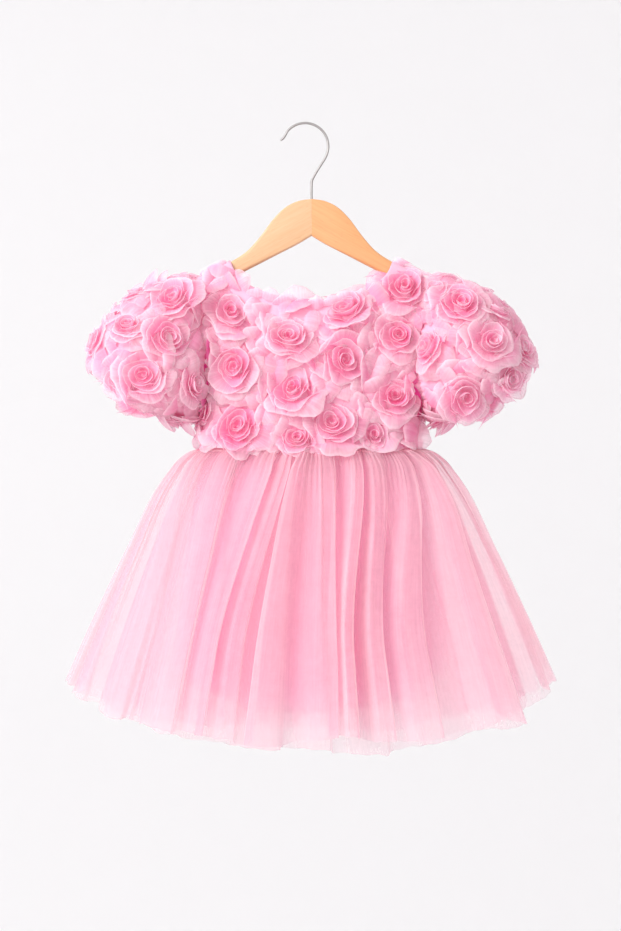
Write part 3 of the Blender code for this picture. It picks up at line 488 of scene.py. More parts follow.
def chiffon_material(name, deep, pale, through):
    """Thin petal cloth, each petal a little different, with a fine crinkle.  Its colour has a painted
    highlight along the rims, painted shade at the foot, and paler crease ridges with painted shade in their
    hollows.
    Light comes through it, and the attribute sheer says how much of the view does.  A tint below 0 paints
    the petal the deepest pink, as painted shade in the gap between a sleeve and the bodice."""
    s = Shader(name)
    rim, rise, tint, sheer, lane = (s.carried(n) for n in ("rim", "rise", "tint", "sheer", "lane"))
    where = s.place()
    cloud = s.noise(where, 45.0, 2.0)
    crinkle = s.noise(where, 330.0, 3.0, 0.6)
    weave = s.noise(where, 2600.0, 1.0)
    up_the_petal = s.add("CombineXYZ", X=lane, Y=rise, Z=tint)[0]
    crease = s.noise(up_the_petal, 0.3, 4.0, 0.7)
    # the share of pale: a painted highlight along the rim, the tint, paler crease ridges against painted
    # shade in their hollows, painted shade at the foot where rise is low, and random cloud
    share = s.scaled(rim, 0.15, s.scaled(tint, 0.45, 0.15))
    share = s.number("ADD", share, s.scaled(crease, 0.7, -0.35))
    share = s.scaled(s.number("POWER", rise, 2.5), 0.5, share)
    share = s.number("ADD", share, s.scaled(cloud, 0.6, -0.3), clamp=True)
    colour = s.colour(share, deep, pale)
    # painted shade: a tint below 0 turns the petal to the deepest pink
    colour = s.colour(s.number("MULTIPLY", tint, -1.0, clamp=True), colour, PETAL_PAINTED_SHADE)
    height = s.scaled(weave, 0.25, s.scaled(crease, 1.6, crinkle))
    bump = s.add("Bump", Strength=0.5, Distance=0.0009, Height=height)[0]
    cloth = s.add("BsdfPrincipled", Base_Color=colour, Roughness=0.85, Sheen_Weight=0.08, Sheen_Roughness=0.4,
                  Sheen_Tint=(1.0, 0.85, 0.92, 1.0), Specular_IOR_Level=0.15, Normal=bump)[0]
    glow = s.add("BsdfTranslucent", Color=s.colour(0.5, colour, through), Normal=bump)[0]
    clear = s.number("MULTIPLY", sheer, s.scaled(rim, -0.75, 1.0))
    clear = s.number("MULTIPLY", clear, s.scaled(crease, -1.2, 1.6), clamp=True)
    gap = s.add("BsdfTransparent", Color=(1.0, 0.93, 0.965, 1.0))[0]
    return s.finished(s.mixed(clear, s.mixed(0.42, cloth, glow), gap))


def net_material(name, colour, edge_highlight, cells):
    """Sheer net: threads that let most of the light by.  The attribute cover says how much of the view the
    threads close, more where a fold turns its side outwards, and the net is painted paler there as a painted
    highlight.  Uneven threads run down it in long fine streaks.  The attribute depth paints the recesses and
    gathers a deeper pink as painted shade.  A cover above 1 is the drawn-up seam, painted darker for its
    stitching and as painted shadow under the bodice."""
    s = Shader(name)
    cover, depth = s.carried("cover"), s.carried("depth")
    where = s.place("UV")
    mesh = s.add("TexVoronoi", {"feature": "DISTANCE_TO_EDGE"}, Vector=where, Scale=cells,
                 Randomness=0.35)["Distance"]
    thread = s.scaled(mesh, -3.0, 1.0, clamp=True)
    mottle = s.noise(where, 14.0, 4.0, 0.7)
    streak = s.noise(s.stretched(where, (330.0, 11.0, 1.0)), 1.0, 3.0, 0.6)
    amount = s.scaled(thread, 0.25, 0.85)
    amount = s.number("ADD", amount, s.scaled(mottle, 0.8, -0.4))
    amount = s.number("ADD", amount, s.scaled(streak, 0.4, -0.2))
    closed = s.number("MULTIPLY", cover, amount, clamp=True)
    # painted highlight: paler where the threads close more, on fold sides turned edge-on and on crests
    shade = s.colour(s.scaled(cover, 1.2, -0.35, clamp=True), colour, edge_highlight)
    # painted shade: deeper pink in the recesses and gathers
    shade = s.colour(s.number("MULTIPLY", depth, 0.6), shade, NET_RECESS_SHADE)
    # a cover above 1 is the seam: its stitching's darker colour and painted shadow under the bodice
    shade = s.colour(s.scaled(cover, 1.0, -1.0, clamp=True), shade, NET_SEAM_SHADOW)
    cloth = s.add("BsdfPrincipled", Base_Color=shade, Roughness=0.9, Specular_IOR_Level=0.1)[0]
    glow = s.add("BsdfTranslucent", Color=shade)[0]
    return s.finished(s.mixed(closed, s.add("BsdfTransparent")[0], s.mixed(0.5, cloth, glow)))


def lining_material(name, colour, shade, sheer=False):
    """Smooth fine cloth with a twill and soft mottling.  Where it is sheer, the attribute cover says how
    much of the view it closes."""
    s = Shader(name)
    where = s.place("UV")
    twill = s.add("TexWave", {"bands_direction": "DIAGONAL"}, Vector=where, Scale=160.0)["Fac"]
    tone = s.colour(s.noise(where, 16.0, 3.0), colour, shade)
    bump = s.add("Bump", Strength=0.15, Distance=0.0002, Height=twill)[0]
    cloth = s.add("BsdfPrincipled", Base_Color=tone, Roughness=0.6, Specular_IOR_Level=0.3, Normal=bump)[0]
    surface = s.mixed(0.3, cloth, s.add("BsdfTranslucent", Color=tone)[0])
    if sheer:
        surface = s.mixed(s.carried("cover"), s.add("BsdfTransparent")[0], surface)
    return s.finished(surface)


def beech_material(name, light, dark, turn):
    """Lacquered beech: fine grain along the arm, with short dark flecks."""
    s = Shader(name)
    along = s.stretched(s.place(), (1.0, 1.0, 1.0), turn)
    grain = s.noise(s.stretched(along, (18.0, 160.0, 420.0)), 1.0, 5.0, 0.6, 0.6)
    fleck = s.noise(s.stretched(along, (110.0, 500.0, 1300.0)), 1.0, 2.0)
    tone = s.colour(s.scaled(grain, 1.6, -0.3, clamp=True), light, dark)
    spots = s.number("MULTIPLY", s.scaled(fleck, 9.0, -5.6, clamp=True), 0.3)
    tone = s.colour(spots, tone, (0.36, 0.15, 0.06, 1.0))
    bump = s.add("Bump", Strength=0.12, Distance=0.0003, Height=grain)[0]
    return s.finished(s.add("BsdfPrincipled", Base_Color=tone, Roughness=0.38, Coat_Weight=0.35,
                            Coat_Roughness=0.18, Normal=bump)[0])


def steel_material(name):
    """Plated wire with faint drawing marks."""
    s = Shader(name)
    marks = s.noise(s.place(), 900.0, 3.0)
    tone = s.colour(marks, (0.33, 0.315, 0.31, 1.0), (0.46, 0.44, 0.43, 1.0))
    rough = s.scaled(marks, 0.1, 0.5)
    return s.finished(s.add("BsdfPrincipled", Base_Color=tone, Metallic=1.0, Roughness=rough)[0])


def wall_material():
    """Plain pale studio wall."""
    s = Shader("studio")
    return s.finished(s.add("BsdfPrincipled", Base_Color=(0.9, 0.895, 0.9, 1.0), Roughness=0.95,
                            Specular_IOR_Level=0.1)[0])


# painted shade: the deepest pink, for petals in the gaps at the armholes
PETAL_PAINTED_SHADE = (0.80, 0.05, 0.33, 1.0)
# the petals' deep end is painted shade at the foot, and the pale end a painted highlight on the rims; between
# them also random tone
PETAL_DEEP = (0.985, 0.31, 0.572, 1.0)
PETAL_PALE = (0.985, 0.81, 0.873, 1.0)
PETAL_THROUGH = (0.985, 0.545, 0.727, 1.0)
# the seam's stitching and painted shadow under the bodice
NET_SEAM_SHADOW = (0.72, 0.20, 0.36, 1.0)
# painted shade in the skirt's recesses and gathers
NET_RECESS_SHADE = (0.92, 0.42, 0.60, 1.0)
NET_PALE = (0.95, 0.61, 0.71, 1.0)
# painted highlight on fold sides turned edge-on and on crests
NET_EDGE_HIGHLIGHT = (0.945, 0.765, 0.78, 1.0)
CHIFFON = chiffon_material("petal_chiffon", PETAL_DEEP, PETAL_PALE, PETAL_THROUGH)
GROUND = lining_material("bodice_net", (0.985, 0.52, 0.69, 1.0), (0.985, 0.65, 0.78, 1.0))
TULLE = net_material("skirt_tulle", NET_PALE, NET_EDGE_HIGHLIGHT, 700.0)
LINING = lining_material("skirt_lining_voile", (0.945, 0.555, 0.725, 1.0), (0.945, 0.64, 0.78, 1.0), True)
BEECH_LEFT = beech_material("beech_left", (0.70, 0.44, 0.25, 1.0), (0.62, 0.34, 0.17, 1.0), 0.5)
BEECH_RIGHT = beech_material("beech_right", (0.74, 0.375, 0.165, 1.0), (0.65, 0.28, 0.105, 1.0), -0.5)
STEEL = steel_material("plated_wire")


# ---------------------------------------------------------------- petals

PETAL_U = 19
PETAL_V = 8
RIM = 0.22  # radius of a petal's turned edge
RIM_TURNS = (1.2, 2.4)
CROWN_LEAN = 0.3  # how far a rose's axis leans up from the cloth's normal
SIDE_LEAN = 0.14
FOOT_BACK = 0.8  # how far a leaning rose's foot is drawn back, in its own heights
LANE_APART = 50  # keeps the creases of one petal unlike those of the next
NEARLY_UP = np.array([0.01, 0.012, 1.0])  # lies along no cloth's normal

# Rings of petals from the bud outwards.  Radii are shares of the rose's radius, heights of its height.
# flare is 0 for a petal that stands up as a cup does, and 1 for one that opens flat.  corner is where a
# petal's two pointed ends lie, as a share of its rim's radius.
RING_COLUMNS = ("count", "half_arc_deg", "foot", "rim", "foot_height", "rim_height", "flare", "curl",
                "corner", "spiral", "sheer")
RINGS = [
    (1, 115, 0.02, 0.14, 0.3, 0.82, 0.0, 0.0, 0.6, 0.4, 0.12),
    (2, 120, 0.06, 0.21, 0.3, 0.94, 0.0, 0.0, 0.72, 0.3, 0.12),
    (2, 132, 0.11, 0.31, 0.3, 1.0, 0.0, 0.0, 0.8, 0.26, 0.15),
    (2, 112, 0.18, 0.46, 0.22, 1.0, 0.12, 0.0, 0.9, 0.24, 0.22),
    (3, 84, 0.28, 0.66, 0.12, 0.9, 0.38, 0.1, 0.98, 0.18, 0.3),
    (3, 80, 0.4, 0.88, 0.05, 0.66, 0.62, 0.3, 1.04, 0.14, 0.4),
    (4, 64, 0.52, 1.1, 0.0, 0.36, 0.9, 0.55, 1.06, 0.1, 0.52),
]


def with_rim(first, up):
    """Two coordinates of rows of points, with rows added that turn the last one back on itself."""
    way = unit(np.stack([first[:, -1] - first[:, -2], up[:, -1] - up[:, -2]], axis=-1))
    turned = np.array(RIM_TURNS)[None, :, None]
    ahead, aside = RIM * np.sin(turned), RIM * (1 - np.cos(turned))
    more_first = first[:, -1:] + ahead * way[:, None, :, 0] + aside * way[:, None, :, 1]
    more_up = up[:, -1:] + ahead * way[:, None, :, 1] - aside * way[:, None, :, 0]
    return np.concatenate([first, more_first], axis=1), np.concatenate([up, more_up], axis=1)


def petal_values(shape, v, tint, sheer, lane):
    """What each point of some petals carries: how near it is to the rim, where the colour has a painted
    highlight, how far up the petal, with painted shade at its foot, the petal's tint, random tone with
    painted shade mixed in, how much it lets through, and its place along the petal in millimetres."""
    up = np.concatenate([v, np.ones(len(RIM_TURNS))])[None, :, None]
    return {name: np.broadcast_to(value, shape) for name, value in (
        ("rim", up**9), ("rise", up), ("tint", tint), ("sheer", sheer * (0.35 + 0.65 * up)), ("lane", lane))}


def rose_petals(rng, radius, height):
    """The petals of one rose in its own frame, as (petal, v, u, 3) points and what they carry.  Each is a
    crescent, as a folded disc of cloth makes: u runs along it from point to point, and v from its foot to
    its rim.  Its width goes with (1 - |u|^2.2)^0.7, and its foot runs out to the corners with |u|^3.
    Where flare is 0, the distance from the axis goes from foot to rim as a sine that leans back in at the
    top, so that the petal stands up as a cup.  Where it is 1, the distance goes as v^1.3 and the height as
    a sine that turns down again with the curl.  One end lies further out, so that each petal is tucked
    into the next, and the bud is an oval, off the middle."""
    rows = []
    start, own_tint = rng.uniform(0, 2 * np.pi), rng.uniform(-0.25, 0.3)
    for row in RINGS:
        ring = dict(zip(RING_COLUMNS, row))
        start += np.pi / ring["count"] + rng.uniform(-0.35, 0.35)
        for k in range(ring["count"]):
            rows.append([
                start + 2 * np.pi * (k + rng.uniform(-0.22, 0.22)) / ring["count"],
                np.radians(ring["half_arc_deg"]) * rng.uniform(0.78, 1.25),
                ring["foot"],
                ring["rim"] * rng.uniform(0.84, 1.16),
                ring["foot_height"],
                ring["rim_height"] * rng.uniform(0.75, 1.12),
                ring["flare"],
                ring["curl"] * rng.uniform(0.5, 1.4),
                ring["corner"] * rng.uniform(0.9, 1.12),
                ring["spiral"] * rng.uniform(0.5, 1.5),
                rng.uniform(0, 2 * np.pi),
                # the tint: random tone per rose and petal, and deeper for the inner rings, as painted shade
                # in the rose's heart
                max(0.0, own_tint + rng.uniform(0, 0.9) + 0.6 * (ring["rim"] - 0.5)),
                rng.uniform(0.0, 0.16) * ring["flare"],
                ring["sheer"] * rng.uniform(0.6, 1.4),
            ])
    table = np.array(rows).T[:, :, None, None]
    (angle, half_arc, foot, rim, foot_height, rim_height, flare, curl, corner, spiral, phase, tint, peak,
     sheer) = table
    u = np.linspace(-1, 1, PETAL_U)[None, None, :]
    u = u * (1.25 - 0.25 * u**2)
    v = np.linspace(0, 1, PETAL_V)[None, :, None]
    taper = np.clip(1 - np.abs(u) ** 2.2, 0, None) ** 0.7
    ends = np.abs(u) ** 3
    ripple = 0.08 * np.sin(3.1 * u + phase) + 0.035 * np.sin(8.3 * u + 2 * phase)
    ripple = ripple + 0.015 * np.sin(21.0 * u + 3 * phase)
    ripple = ripple + peak * np.exp(-((u - 0.3 * np.sin(phase)) / 0.2) ** 2)
    opens = (1 - flare) * np.sin(v * np.pi * 0.6) + flare * v**1.3
    base = foot + (corner * rim - foot) * ends
    across = base + (rim - base) * taper * opens + ripple * rim * v * taper
    across = across * (1 + 0.5 * spiral * u)
    rise = (1 - flare) * v**1.1 + flare * np.sin(v * (np.pi / 2) * (1 + curl))
    low = foot_height + 0.5 * (rim_height - foot_height) * ends
    up = low + (rim_height - low) * taper**0.6 * rise
    up = up + (0.05 * np.sin(4.3 * u + 3 * phase) + 0.02 * np.sin(11.0 * u + phase)) * v
    turn = angle + u * half_arc
    across, up = with_rim(across * radius, up * height)
    a, b = across * np.cos(turn), across * np.sin(turn)
    oval, way = rng.uniform(0.7, 0.95), rng.uniform(0, np.pi)
    inner = np.clip(1.25 - across / radius, 0, 1)
    stretch = (oval - 1) * inner * (a * np.cos(way) + b * np.sin(way))
    off, off_way = 0.14 * radius * rng.uniform(0.2, 1.0), rng.uniform(0, 2 * np.pi)
    a = a + stretch * np.cos(way) + off * inner * np.cos(off_way)
    b = b + stretch * np.sin(way) + off * inner * np.sin(off_way)
    points = np.stack([a, b, up], axis=-1)
    lane = u * half_arc * rim * radius + LANE_APART * phase
    return points, petal_values(across.shape, v[0, :, 0], tint, sheer, lane)


def across_and_up(normals):
    """Two ways in the cloth at each normal: across, and as nearly up as the cloth lets it."""
    across = unit(np.cross(NEARLY_UP, normals))
    return across, np.cross(normals, across)


def set_on(points, centres, normals, turns):
    """Points of shapes in their own frames, turned about the normals and put on the cloth: each frame's
    second axis points as nearly up as the cloth lets it, before the turn."""
    across, upward = across_and_up(normals)
    c, s = np.cos(turns)[:, None], np.sin(turns)[:, None]
    frames = np.stack([across * c + upward * s, upward * c - across * s, normals], axis=1)
    return centres[:, None, None, :] + np.einsum("nvua,nab->nvub", points, frames)


def petal_faces(points):
    """Quads over a stack of petals' grids."""
    count, rows, columns = points.shape[:3]
    one = grid_faces(rows, columns)
    return (one[None] + np.arange(count)[:, None, None] * rows * columns).reshape(-1, 4)


def rose(rng, centre, normal, radius, height, turn):
    """One rose, its axis leaning up from the cloth's normal and a little to one side.  Its foot is drawn
    back the other way, so that the crown keeps its place."""
    points, values = rose_petals(rng, radius, height)
    lean = np.array([0.0, 0.0, CROWN_LEAN * rng.uniform(0.2, 1.6)]) + SIDE_LEAN * rng.normal(size=3)
    lean = lean - normal * (lean @ normal)
    axis = unit(normal + lean)
    count = len(points)
    foot = centre - FOOT_BACK * height * lean
    placed = set_on(points, np.tile(foot, (count, 1)), np.tile(axis, (count, 1)), np.full(count, turn))
    return placed, petal_faces(placed), values


LOOSE_U = 13
LOOSE_V = 6
LOOSE_CLEAR = 3.0  # how far a loose petal stands off the cloth
SHOULDER_RISE = 7.0  # the most that a petal may rise above the shoulders
BEND_RADIUS = 58.0  # loose petals bend back along their length as the cloth under them does
ARMHOLE_LAP = 8.0  # how far past the armhole's seam the middle of a bodice's petal may lie


def loose_petals(rng, surface, outward, spots, within=None):
    """Single folded petals between the roses.  Each closes to a point at both ends, as
    (1 - |u|^2.1)^0.8 does.  One long edge is sewn down, and the other stands up by the lift; between them
    it bulges.  A sheer below 0 marks a close petal painted the deepest pink, as painted shade in the gap
    between sleeve and bodice.  within says of their middles which are on the panel, and the rest are left
    out."""
    p, q, turn_deg, length, width, lift, sheer = np.array(spots).T
    centres, normals = surface(p, q), normals_of(surface, p, q, outward)
    count = len(p)
    length, width, lift, sheer = (a[:, None, None] for a in (length, width, lift, sheer))
    paler = rng.uniform(0.3, 1.3, (count, 1, 1)) + 1.5 * np.clip(sheer - 0.3, 0.0, 1.0)
    # a sheer below 0 gives a tint below 0: painted shade in the deepest pink
    tint = np.where(sheer < 0, -rng.uniform(0.3, 1.0, (count, 1, 1)), paler)
    sheer = np.clip(sheer, 0, None)
    phase = rng.uniform(0, 2 * np.pi, (count, 1, 1))
    bow = rng.uniform(-0.2, 0.2, (count, 1, 1))
    u = np.linspace(-1, 1, LOOSE_U)[None, None, :]
    v = np.linspace(0, 1, LOOSE_V)[None, :, None]
    taper = np.clip(1 - np.abs(0.995 * u) ** 2.1, 0.0, None) ** 0.8
    ripple = 1 + 0.12 * np.sin(4.1 * u + phase) + 0.06 * np.sin(9.0 * u + 2 * phase)
    along = length / 2 * u
    across = width * (v - 0.4) * taper * ripple + bow * width * (1 - u**2)
    up = LOOSE_CLEAR + lift * v**1.2 * taper**0.5 * ripple + 0.2 * width * np.sin(np.pi * v) * taper
    up = up - along**2 / (2 * BEND_RADIUS)
    across, up = with_rim(across, up)
    points = np.stack([along + 0 * across, across, up], axis=-1)
    placed = set_on(points, centres, normals, np.radians(turn_deg))
    values = petal_values(across.shape, v[0, :, 0], tint, sheer, along + LANE_APART * phase)
    if within is not None:
        kept = within(centres)
        placed, values = placed[kept], {key: value[kept] for key, value in values.items()}
    return placed, petal_faces(placed), values


def petals_on(name, surface, outward, roses, loose, seed, within=None):
    """All roses and loose petals of one panel, as one piece.  What rises above the shoulders is drawn down
    towards them, as a limp petal falls over the hanger."""
    rng = np.random.default_rng(seed)
    parts = []
    for p, q, radius, height, turn_deg in roses:
        at = np.array(p), np.array(q)
        normal = normals_of(surface, *at, outward)
        parts.append(rose(rng, surface(*at), normal, radius, height, np.radians(turn_deg)))
    if loose:
        parts.append(loose_petals(rng, surface, outward, loose, within))
    points, faces, values = joined(parts)
    out = np.abs(points[:, 0])
    above = points[:, 2] - shoulder_line(out)
    settled = SHOULDER_RISE * np.tanh(above / SHOULDER_RISE)
    points[:, 2] += np.where((above > 0) & (out < SHOULDER_OUT), settled - above, 0.0)
    return new_piece(name, points, faces, CHIFFON, "chiffon", **values)


def inside_armholes(places):
    """Which places on the bodice lie no further out than the armhole's seam and what laps over it."""
    return np.abs(places[:, 0]) < armhole_out(places[:, 2]) + ARMHOLE_LAP


def on_bodice(table, hand=1):
    """Rows placed by x on the bodice, as (arc, z, ...).  hand is -1 to mirror them."""
    return [(float(bodice_arc(hand * x, np.array(z))), z, *rest) for x, z, *rest in table]


def on_sleeve(surface, table, hand, facing):
    """Rows placed in the front or back view, as (girth, length, ...): the point of that face of the
    sleeve that the view shows nearest to the place."""
    girth, length = np.meshgrid(
        np.linspace(0.0, SLEEVE_GIRTH, 241), np.linspace(8.0, SLEEVE_LENGTH - 6.0, 73), indexing="ij"
    )
    points = surface(girth, length)
    spots = []
    for out, z, *rest in table:
        away = (points[..., 0] - hand * out) ** 2 + (points[..., 2] - z) ** 2
        away[points[..., 1] * facing < 0] = np.inf
        i = np.unravel_index(np.argmin(away), away.shape)
        spots.append((girth[i], length[i], *rest))
    return spots


def drawn(rng, ranges):
    """A random value from each range, in turn."""
    return [rng.uniform(low, high) for low, high in ranges]


def between_roses(rng, surface, roses, low, high, tries):
    """Places for more loose petals where no rose's middle is near: tried at random and kept when they
    are clear of the roses and of one another."""
    taken = [surface(np.array(p), np.array(q)) for p, q, *_ in roses]
    reach = [0.85 * r for _, _, r, *_ in roses]
    spots = []
    for p, q in rng.uniform(low, high, (tries, 2)):
        place = surface(np.array(p), np.array(q))
        gaps = np.linalg.norm(np.array(taken) - place, axis=1) - np.array(reach)
        if gaps.min() > 0:
            taken.append(place)
            reach.append(FILLER_APART)
            spots.append((p, q, rng.uniform(0, 360), *drawn(rng, FILLER)))
    return spots


def under_top(spots, surface, margin):
    """The spots whose middles lie at least a margin below the bodice's top edge."""
    x, _, z = surface(*np.array(spots).T[:2]).T
    return [spot for spot, below in zip(spots, z < top_edge(x) - margin) if below]


def round_roses(rng, surface, outward, roses, low, high):
    """Places for flat loose petals round each rose, their sewn edges under it and their free edges away
    from it, but none under another rose and none beyond the limits."""
    middles = np.array([surface(np.array(p), np.array(q)) for p, q, *_ in roses])
    reach = np.array([r for _, _, r, *_ in roses])
    spots = []
    for k, (p, q, radius, *_) in enumerate(roses):
        start = rng.uniform(0, 2 * np.pi)
        steps = np.arange(HUGGING_COUNT) + rng.uniform(-0.25, 0.25, HUGGING_COUNT)
        for angle in start + 2 * np.pi * steps / HUGGING_COUNT:
            away = radius * rng.uniform(1.0, 1.25)
            at = np.array(p + away * np.cos(angle)), np.array(q + away * np.sin(angle))
            if not all(a <= x <= b for a, x, b in zip(low, at, high)):
                continue
            place, normal = surface(*at), normals_of(surface, *at, outward)
            gaps = np.linalg.norm(middles - place, axis=1) / reach
            gaps[k] = 2.0
            if gaps.min() > CLEAR_OF_ROSE:
                across, upward = across_and_up(normal)
                out = place - middles[k]
                turn = np.degrees(np.arctan2(-(out @ across), out @ upward)) + rng.uniform(-30, 30)
                spots.append((float(at[0]), float(at[1]), turn, *drawn(rng, HUGGING)))
    return spots


def along_edge(rng, places, turns, sizes, jitter=25.0):
    """Loose petals along a seam or an edge, one a place, their free edges turned the way of turns."""
    return [(p, q, t + rng.uniform(-jitter, jitter), *drawn(rng, sizes)) for (p, q), t in zip(places, turns)]


# Loose petals by kind: the ranges of their length, width, lift and sheer.
RAGGED = ((22, 34), (11, 17), (3, 8), (0.5, 0.75))
HUGGING = ((30, 46), (12, 19), (1.5, 5), (0.35, 0.65))
FILLER = ((30, 46), (13, 22), (2, 5), (0.35, 0.65))
CUFF_EDGE = ((16, 30), (9, 15), (2, 7), (0.3, 0.6))
WAIST_EDGE = ((20, 34), (10, 16), (4, 9), (0.1, 0.4))
NECK_EDGE = ((20, 32), (9, 14), (2, 6), (0.35, 0.65))
ARMHOLE_EDGE = ((20, 32), (8, 13), (3, 8), (0.25, 0.5))
# painted shade: small petals of the deepest pink in the armhole's gap
ARMHOLE_SHADE = ((16, 24), (8, 12), (1, 3))
PAINTED_SHADE_SHEER = -0.1  # the sheer that marks a petal painted the deepest pink, as painted shade
HUGGING_COUNT = 6
CLEAR_OF_ROSE = 0.72  # of its radius
FILLER_APART = 17.0


# ---------------------------------------------------------------- bodice and sleeves

CLOTH_WALL = 0.8
PANEL_ROWS = 80
TOP_ROUNDS = 30  # of the search for a panel's top edge
TOP_MARGIN = 12.0  # how far below the top edge the middles of loose petals stay
NEAR_WAIST_Z, FILLER_WAIST_Z, NEAR_NECK_Z = -364.0, -362.0, -165.0
ARMHOLE_TOP_Z = -176.0  # where the armhole's petals end
SHADE_TOP_Z = -234.0  # where its petals painted the deepest pink, as painted shade, end
EDGE_STEP = 17.0
ARMHOLE_STEP = 15.0
SLEEVE_GRID = (60, 300)
CUFF_STEP = 21.0
RAGGED_STEP = 9.0


def solidify(obj, thickness):
    """Gives a shell its cloth's thickness, inwards."""
    wall = obj.modifiers.new("cloth", "SOLIDIFY")
    wall.thickness = thickness * MILLIMETRE
    wall.offset = -1.0
    return obj


def panel_top(share):
    """Height of a panel's top edge at a share of its width.  The edge's width depends on the height, so it
    is found by going round a few times."""
    z = np.full_like(share, NECK_POINT_Z)
    for _ in range(TOP_ROUNDS):
        z = top_edge(share * armhole_out(np.maximum(z, UNDERARM_Z)))
    return z


def make_panel(name, side, low_share, high_share, columns):
    """A bodice panel between two shares of the half width: rows from the waist to its top edge."""
    share = np.linspace(low_share, high_share, columns)[None, :]
    t = np.linspace(0, 1, PANEL_ROWS)[:, None]
    z = WAIST_Z + (panel_top(share) - WAIST_Z) * t
    waist = read_off(BODICE, "z", z, "half_width")
    x = share * np.where(z < UNDERARM_Z, waist, armhole_out(z))
    points = bodice_surface(side)(bodice_arc(x, z), z)
    faces = grid_faces(*points.shape[:2], flipped=side > 0)
    uv = np.stack([x, z], axis=-1) * MILLIMETRE
    return solidify(new_piece(name, points, faces, GROUND, "chiffon", uv=uv), CLOTH_WALL)


def make_sleeve(name, hand):
    """A sleeve's net: its surface, with fine gathers that run out from the armhole and in from the cuff."""
    rows, columns = SLEEVE_GRID
    girth = np.linspace(0, SLEEVE_GIRTH, columns + 1)[None, :-1] + np.zeros((rows, 1))
    length = np.linspace(0, 1, rows)[:, None] ** 1.2 * SLEEVE_LENGTH + np.zeros((1, columns))
    surface = sleeve_surface(hand)
    points = surface(girth, length)
    normals = normals_of(surface, girth, length, hand)
    turn = 2 * np.pi * girth / SLEEVE_GIRTH
    gathers = np.sin(38 * turn + 2.2 * np.sin(5 * turn)) + 0.6 * np.sin(57 * turn + 1.0)
    depth = 1.3 * np.exp(-length / 26.0) + 0.9 * np.exp(-(SLEEVE_LENGTH - length) / 14.0)
    points = points + normals * (gathers * depth * smooth_step(length / 4.0) - 0.6)[..., None]
    faces = grid_faces(rows, columns, closed=True, flipped=hand < 0)
    uv = np.stack([girth, length], axis=-1) * MILLIMETRE
    return solidify(new_piece(name, points, faces, GROUND, "chiffon", uv=uv), CLOTH_WALL)


def panel_edging(rng, low_x, high_x):
    """Loose petals along a bodice panel's neckline and armholes, and over its waist seam."""
    spots = []
    for x in np.arange(low_x + 8.0, high_x - 4.0, EDGE_STEP):
        spots.append((x, WAIST_Z + rng.uniform(2, 7), 180.0 + rng.uniform(-28, 28), *drawn(rng, WAIST_EDGE)))
        if abs(x) < NECK_HALF_WIDTH - 4.0:
            turn = np.arcsin(x / NECK_HALF_WIDTH)
            level = NECK_POINT_Z - NECK_DROP * np.cos(turn) - rng.uniform(4, 9)
            slope = np.degrees(np.arctan2(NECK_DROP * np.sin(turn), NECK_HALF_WIDTH * np.cos(turn)))
            spots.append((x, level, slope + rng.uniform(-22, 22), *drawn(rng, NECK_EDGE)))
    for hand in (-1, 1):
        for level in np.arange(UNDERARM_Z + 8.0, ARMHOLE_TOP_Z, ARMHOLE_STEP):
            x = hand * (float(armhole_out(level)) - rng.uniform(4, 9))
            if low_x <= x <= high_x:
                spots.append((x, level, -90.0 * hand + rng.uniform(-25, 25), *drawn(rng, ARMHOLE_EDGE)))
                # below this, petals of the deepest pink paint the shade in the armhole
                if level < SHADE_TOP_Z:
                    turn = -90.0 * hand + rng.uniform(-40, 40)
                    spots.append((x + 5.0 * hand, level - 6.0, turn, *drawn(rng, ARMHOLE_SHADE), PAINTED_SHADE_SHEER))
    return on_bodice(spots)


def panel_petals(rng, surface, outward, roses, edging, near, reach, tries):
    """A panel's loose petals: those of its edges, flat ones round its roses and more between them.  edging
    is the span in x of the first, and near and reach are the spans along the arc of the others."""
    loose = panel_edging(rng, *edging)
    more = round_roses(rng, surface, outward, roses, (near[0], NEAR_WAIST_Z), (near[1], NEAR_NECK_Z))
    more += between_roses(rng, surface, roses, (reach[0], FILLER_WAIST_Z), (reach[1], NEAR_NECK_Z), tries)
    return loose + under_top(more, surface, TOP_MARGIN)


def make_bodice():
    front = make_panel("bodice_front_cloth", -1, -1.0, 1.0, 121)
    rng = np.random.default_rng(61)
    surface = bodice_surface(-1)
    spots = on_bodice(FRONT_ROSES)
    loose = on_bodice(FRONT_PETALS)
    loose += panel_petals(rng, surface, 1, spots, (-122.0, 122.0), (-112.0, 112.0), (-170.0, 170.0), 600)
    roses = petals_on("bodice_front_roses", surface, 1, spots, loose, 11, inside_armholes)
    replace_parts(front, "bodice_front")
    surface = bodice_surface(1)
    for word, hand, low, high, seed in (("left", -1, -1.0, -0.002, 12), ("right", 1, 0.002, 1.0, 13)):
        back = make_panel(f"bodice_back_{word}_cloth", 1, low, high, 61)
        spots = on_bodice(BACK_ROSES, hand)
        edging, reach = sorted((hand * 4.0, hand * 122.0)), sorted((hand * 6.0, hand * 170.0))
        loose = panel_petals(rng, surface, -1, spots, edging, reach, reach, 350)
        roses = petals_on(f"bodice_back_{word}_roses", surface, -1, spots, loose, seed, inside_armholes)
        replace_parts(back, f"bodice_back_{word}")


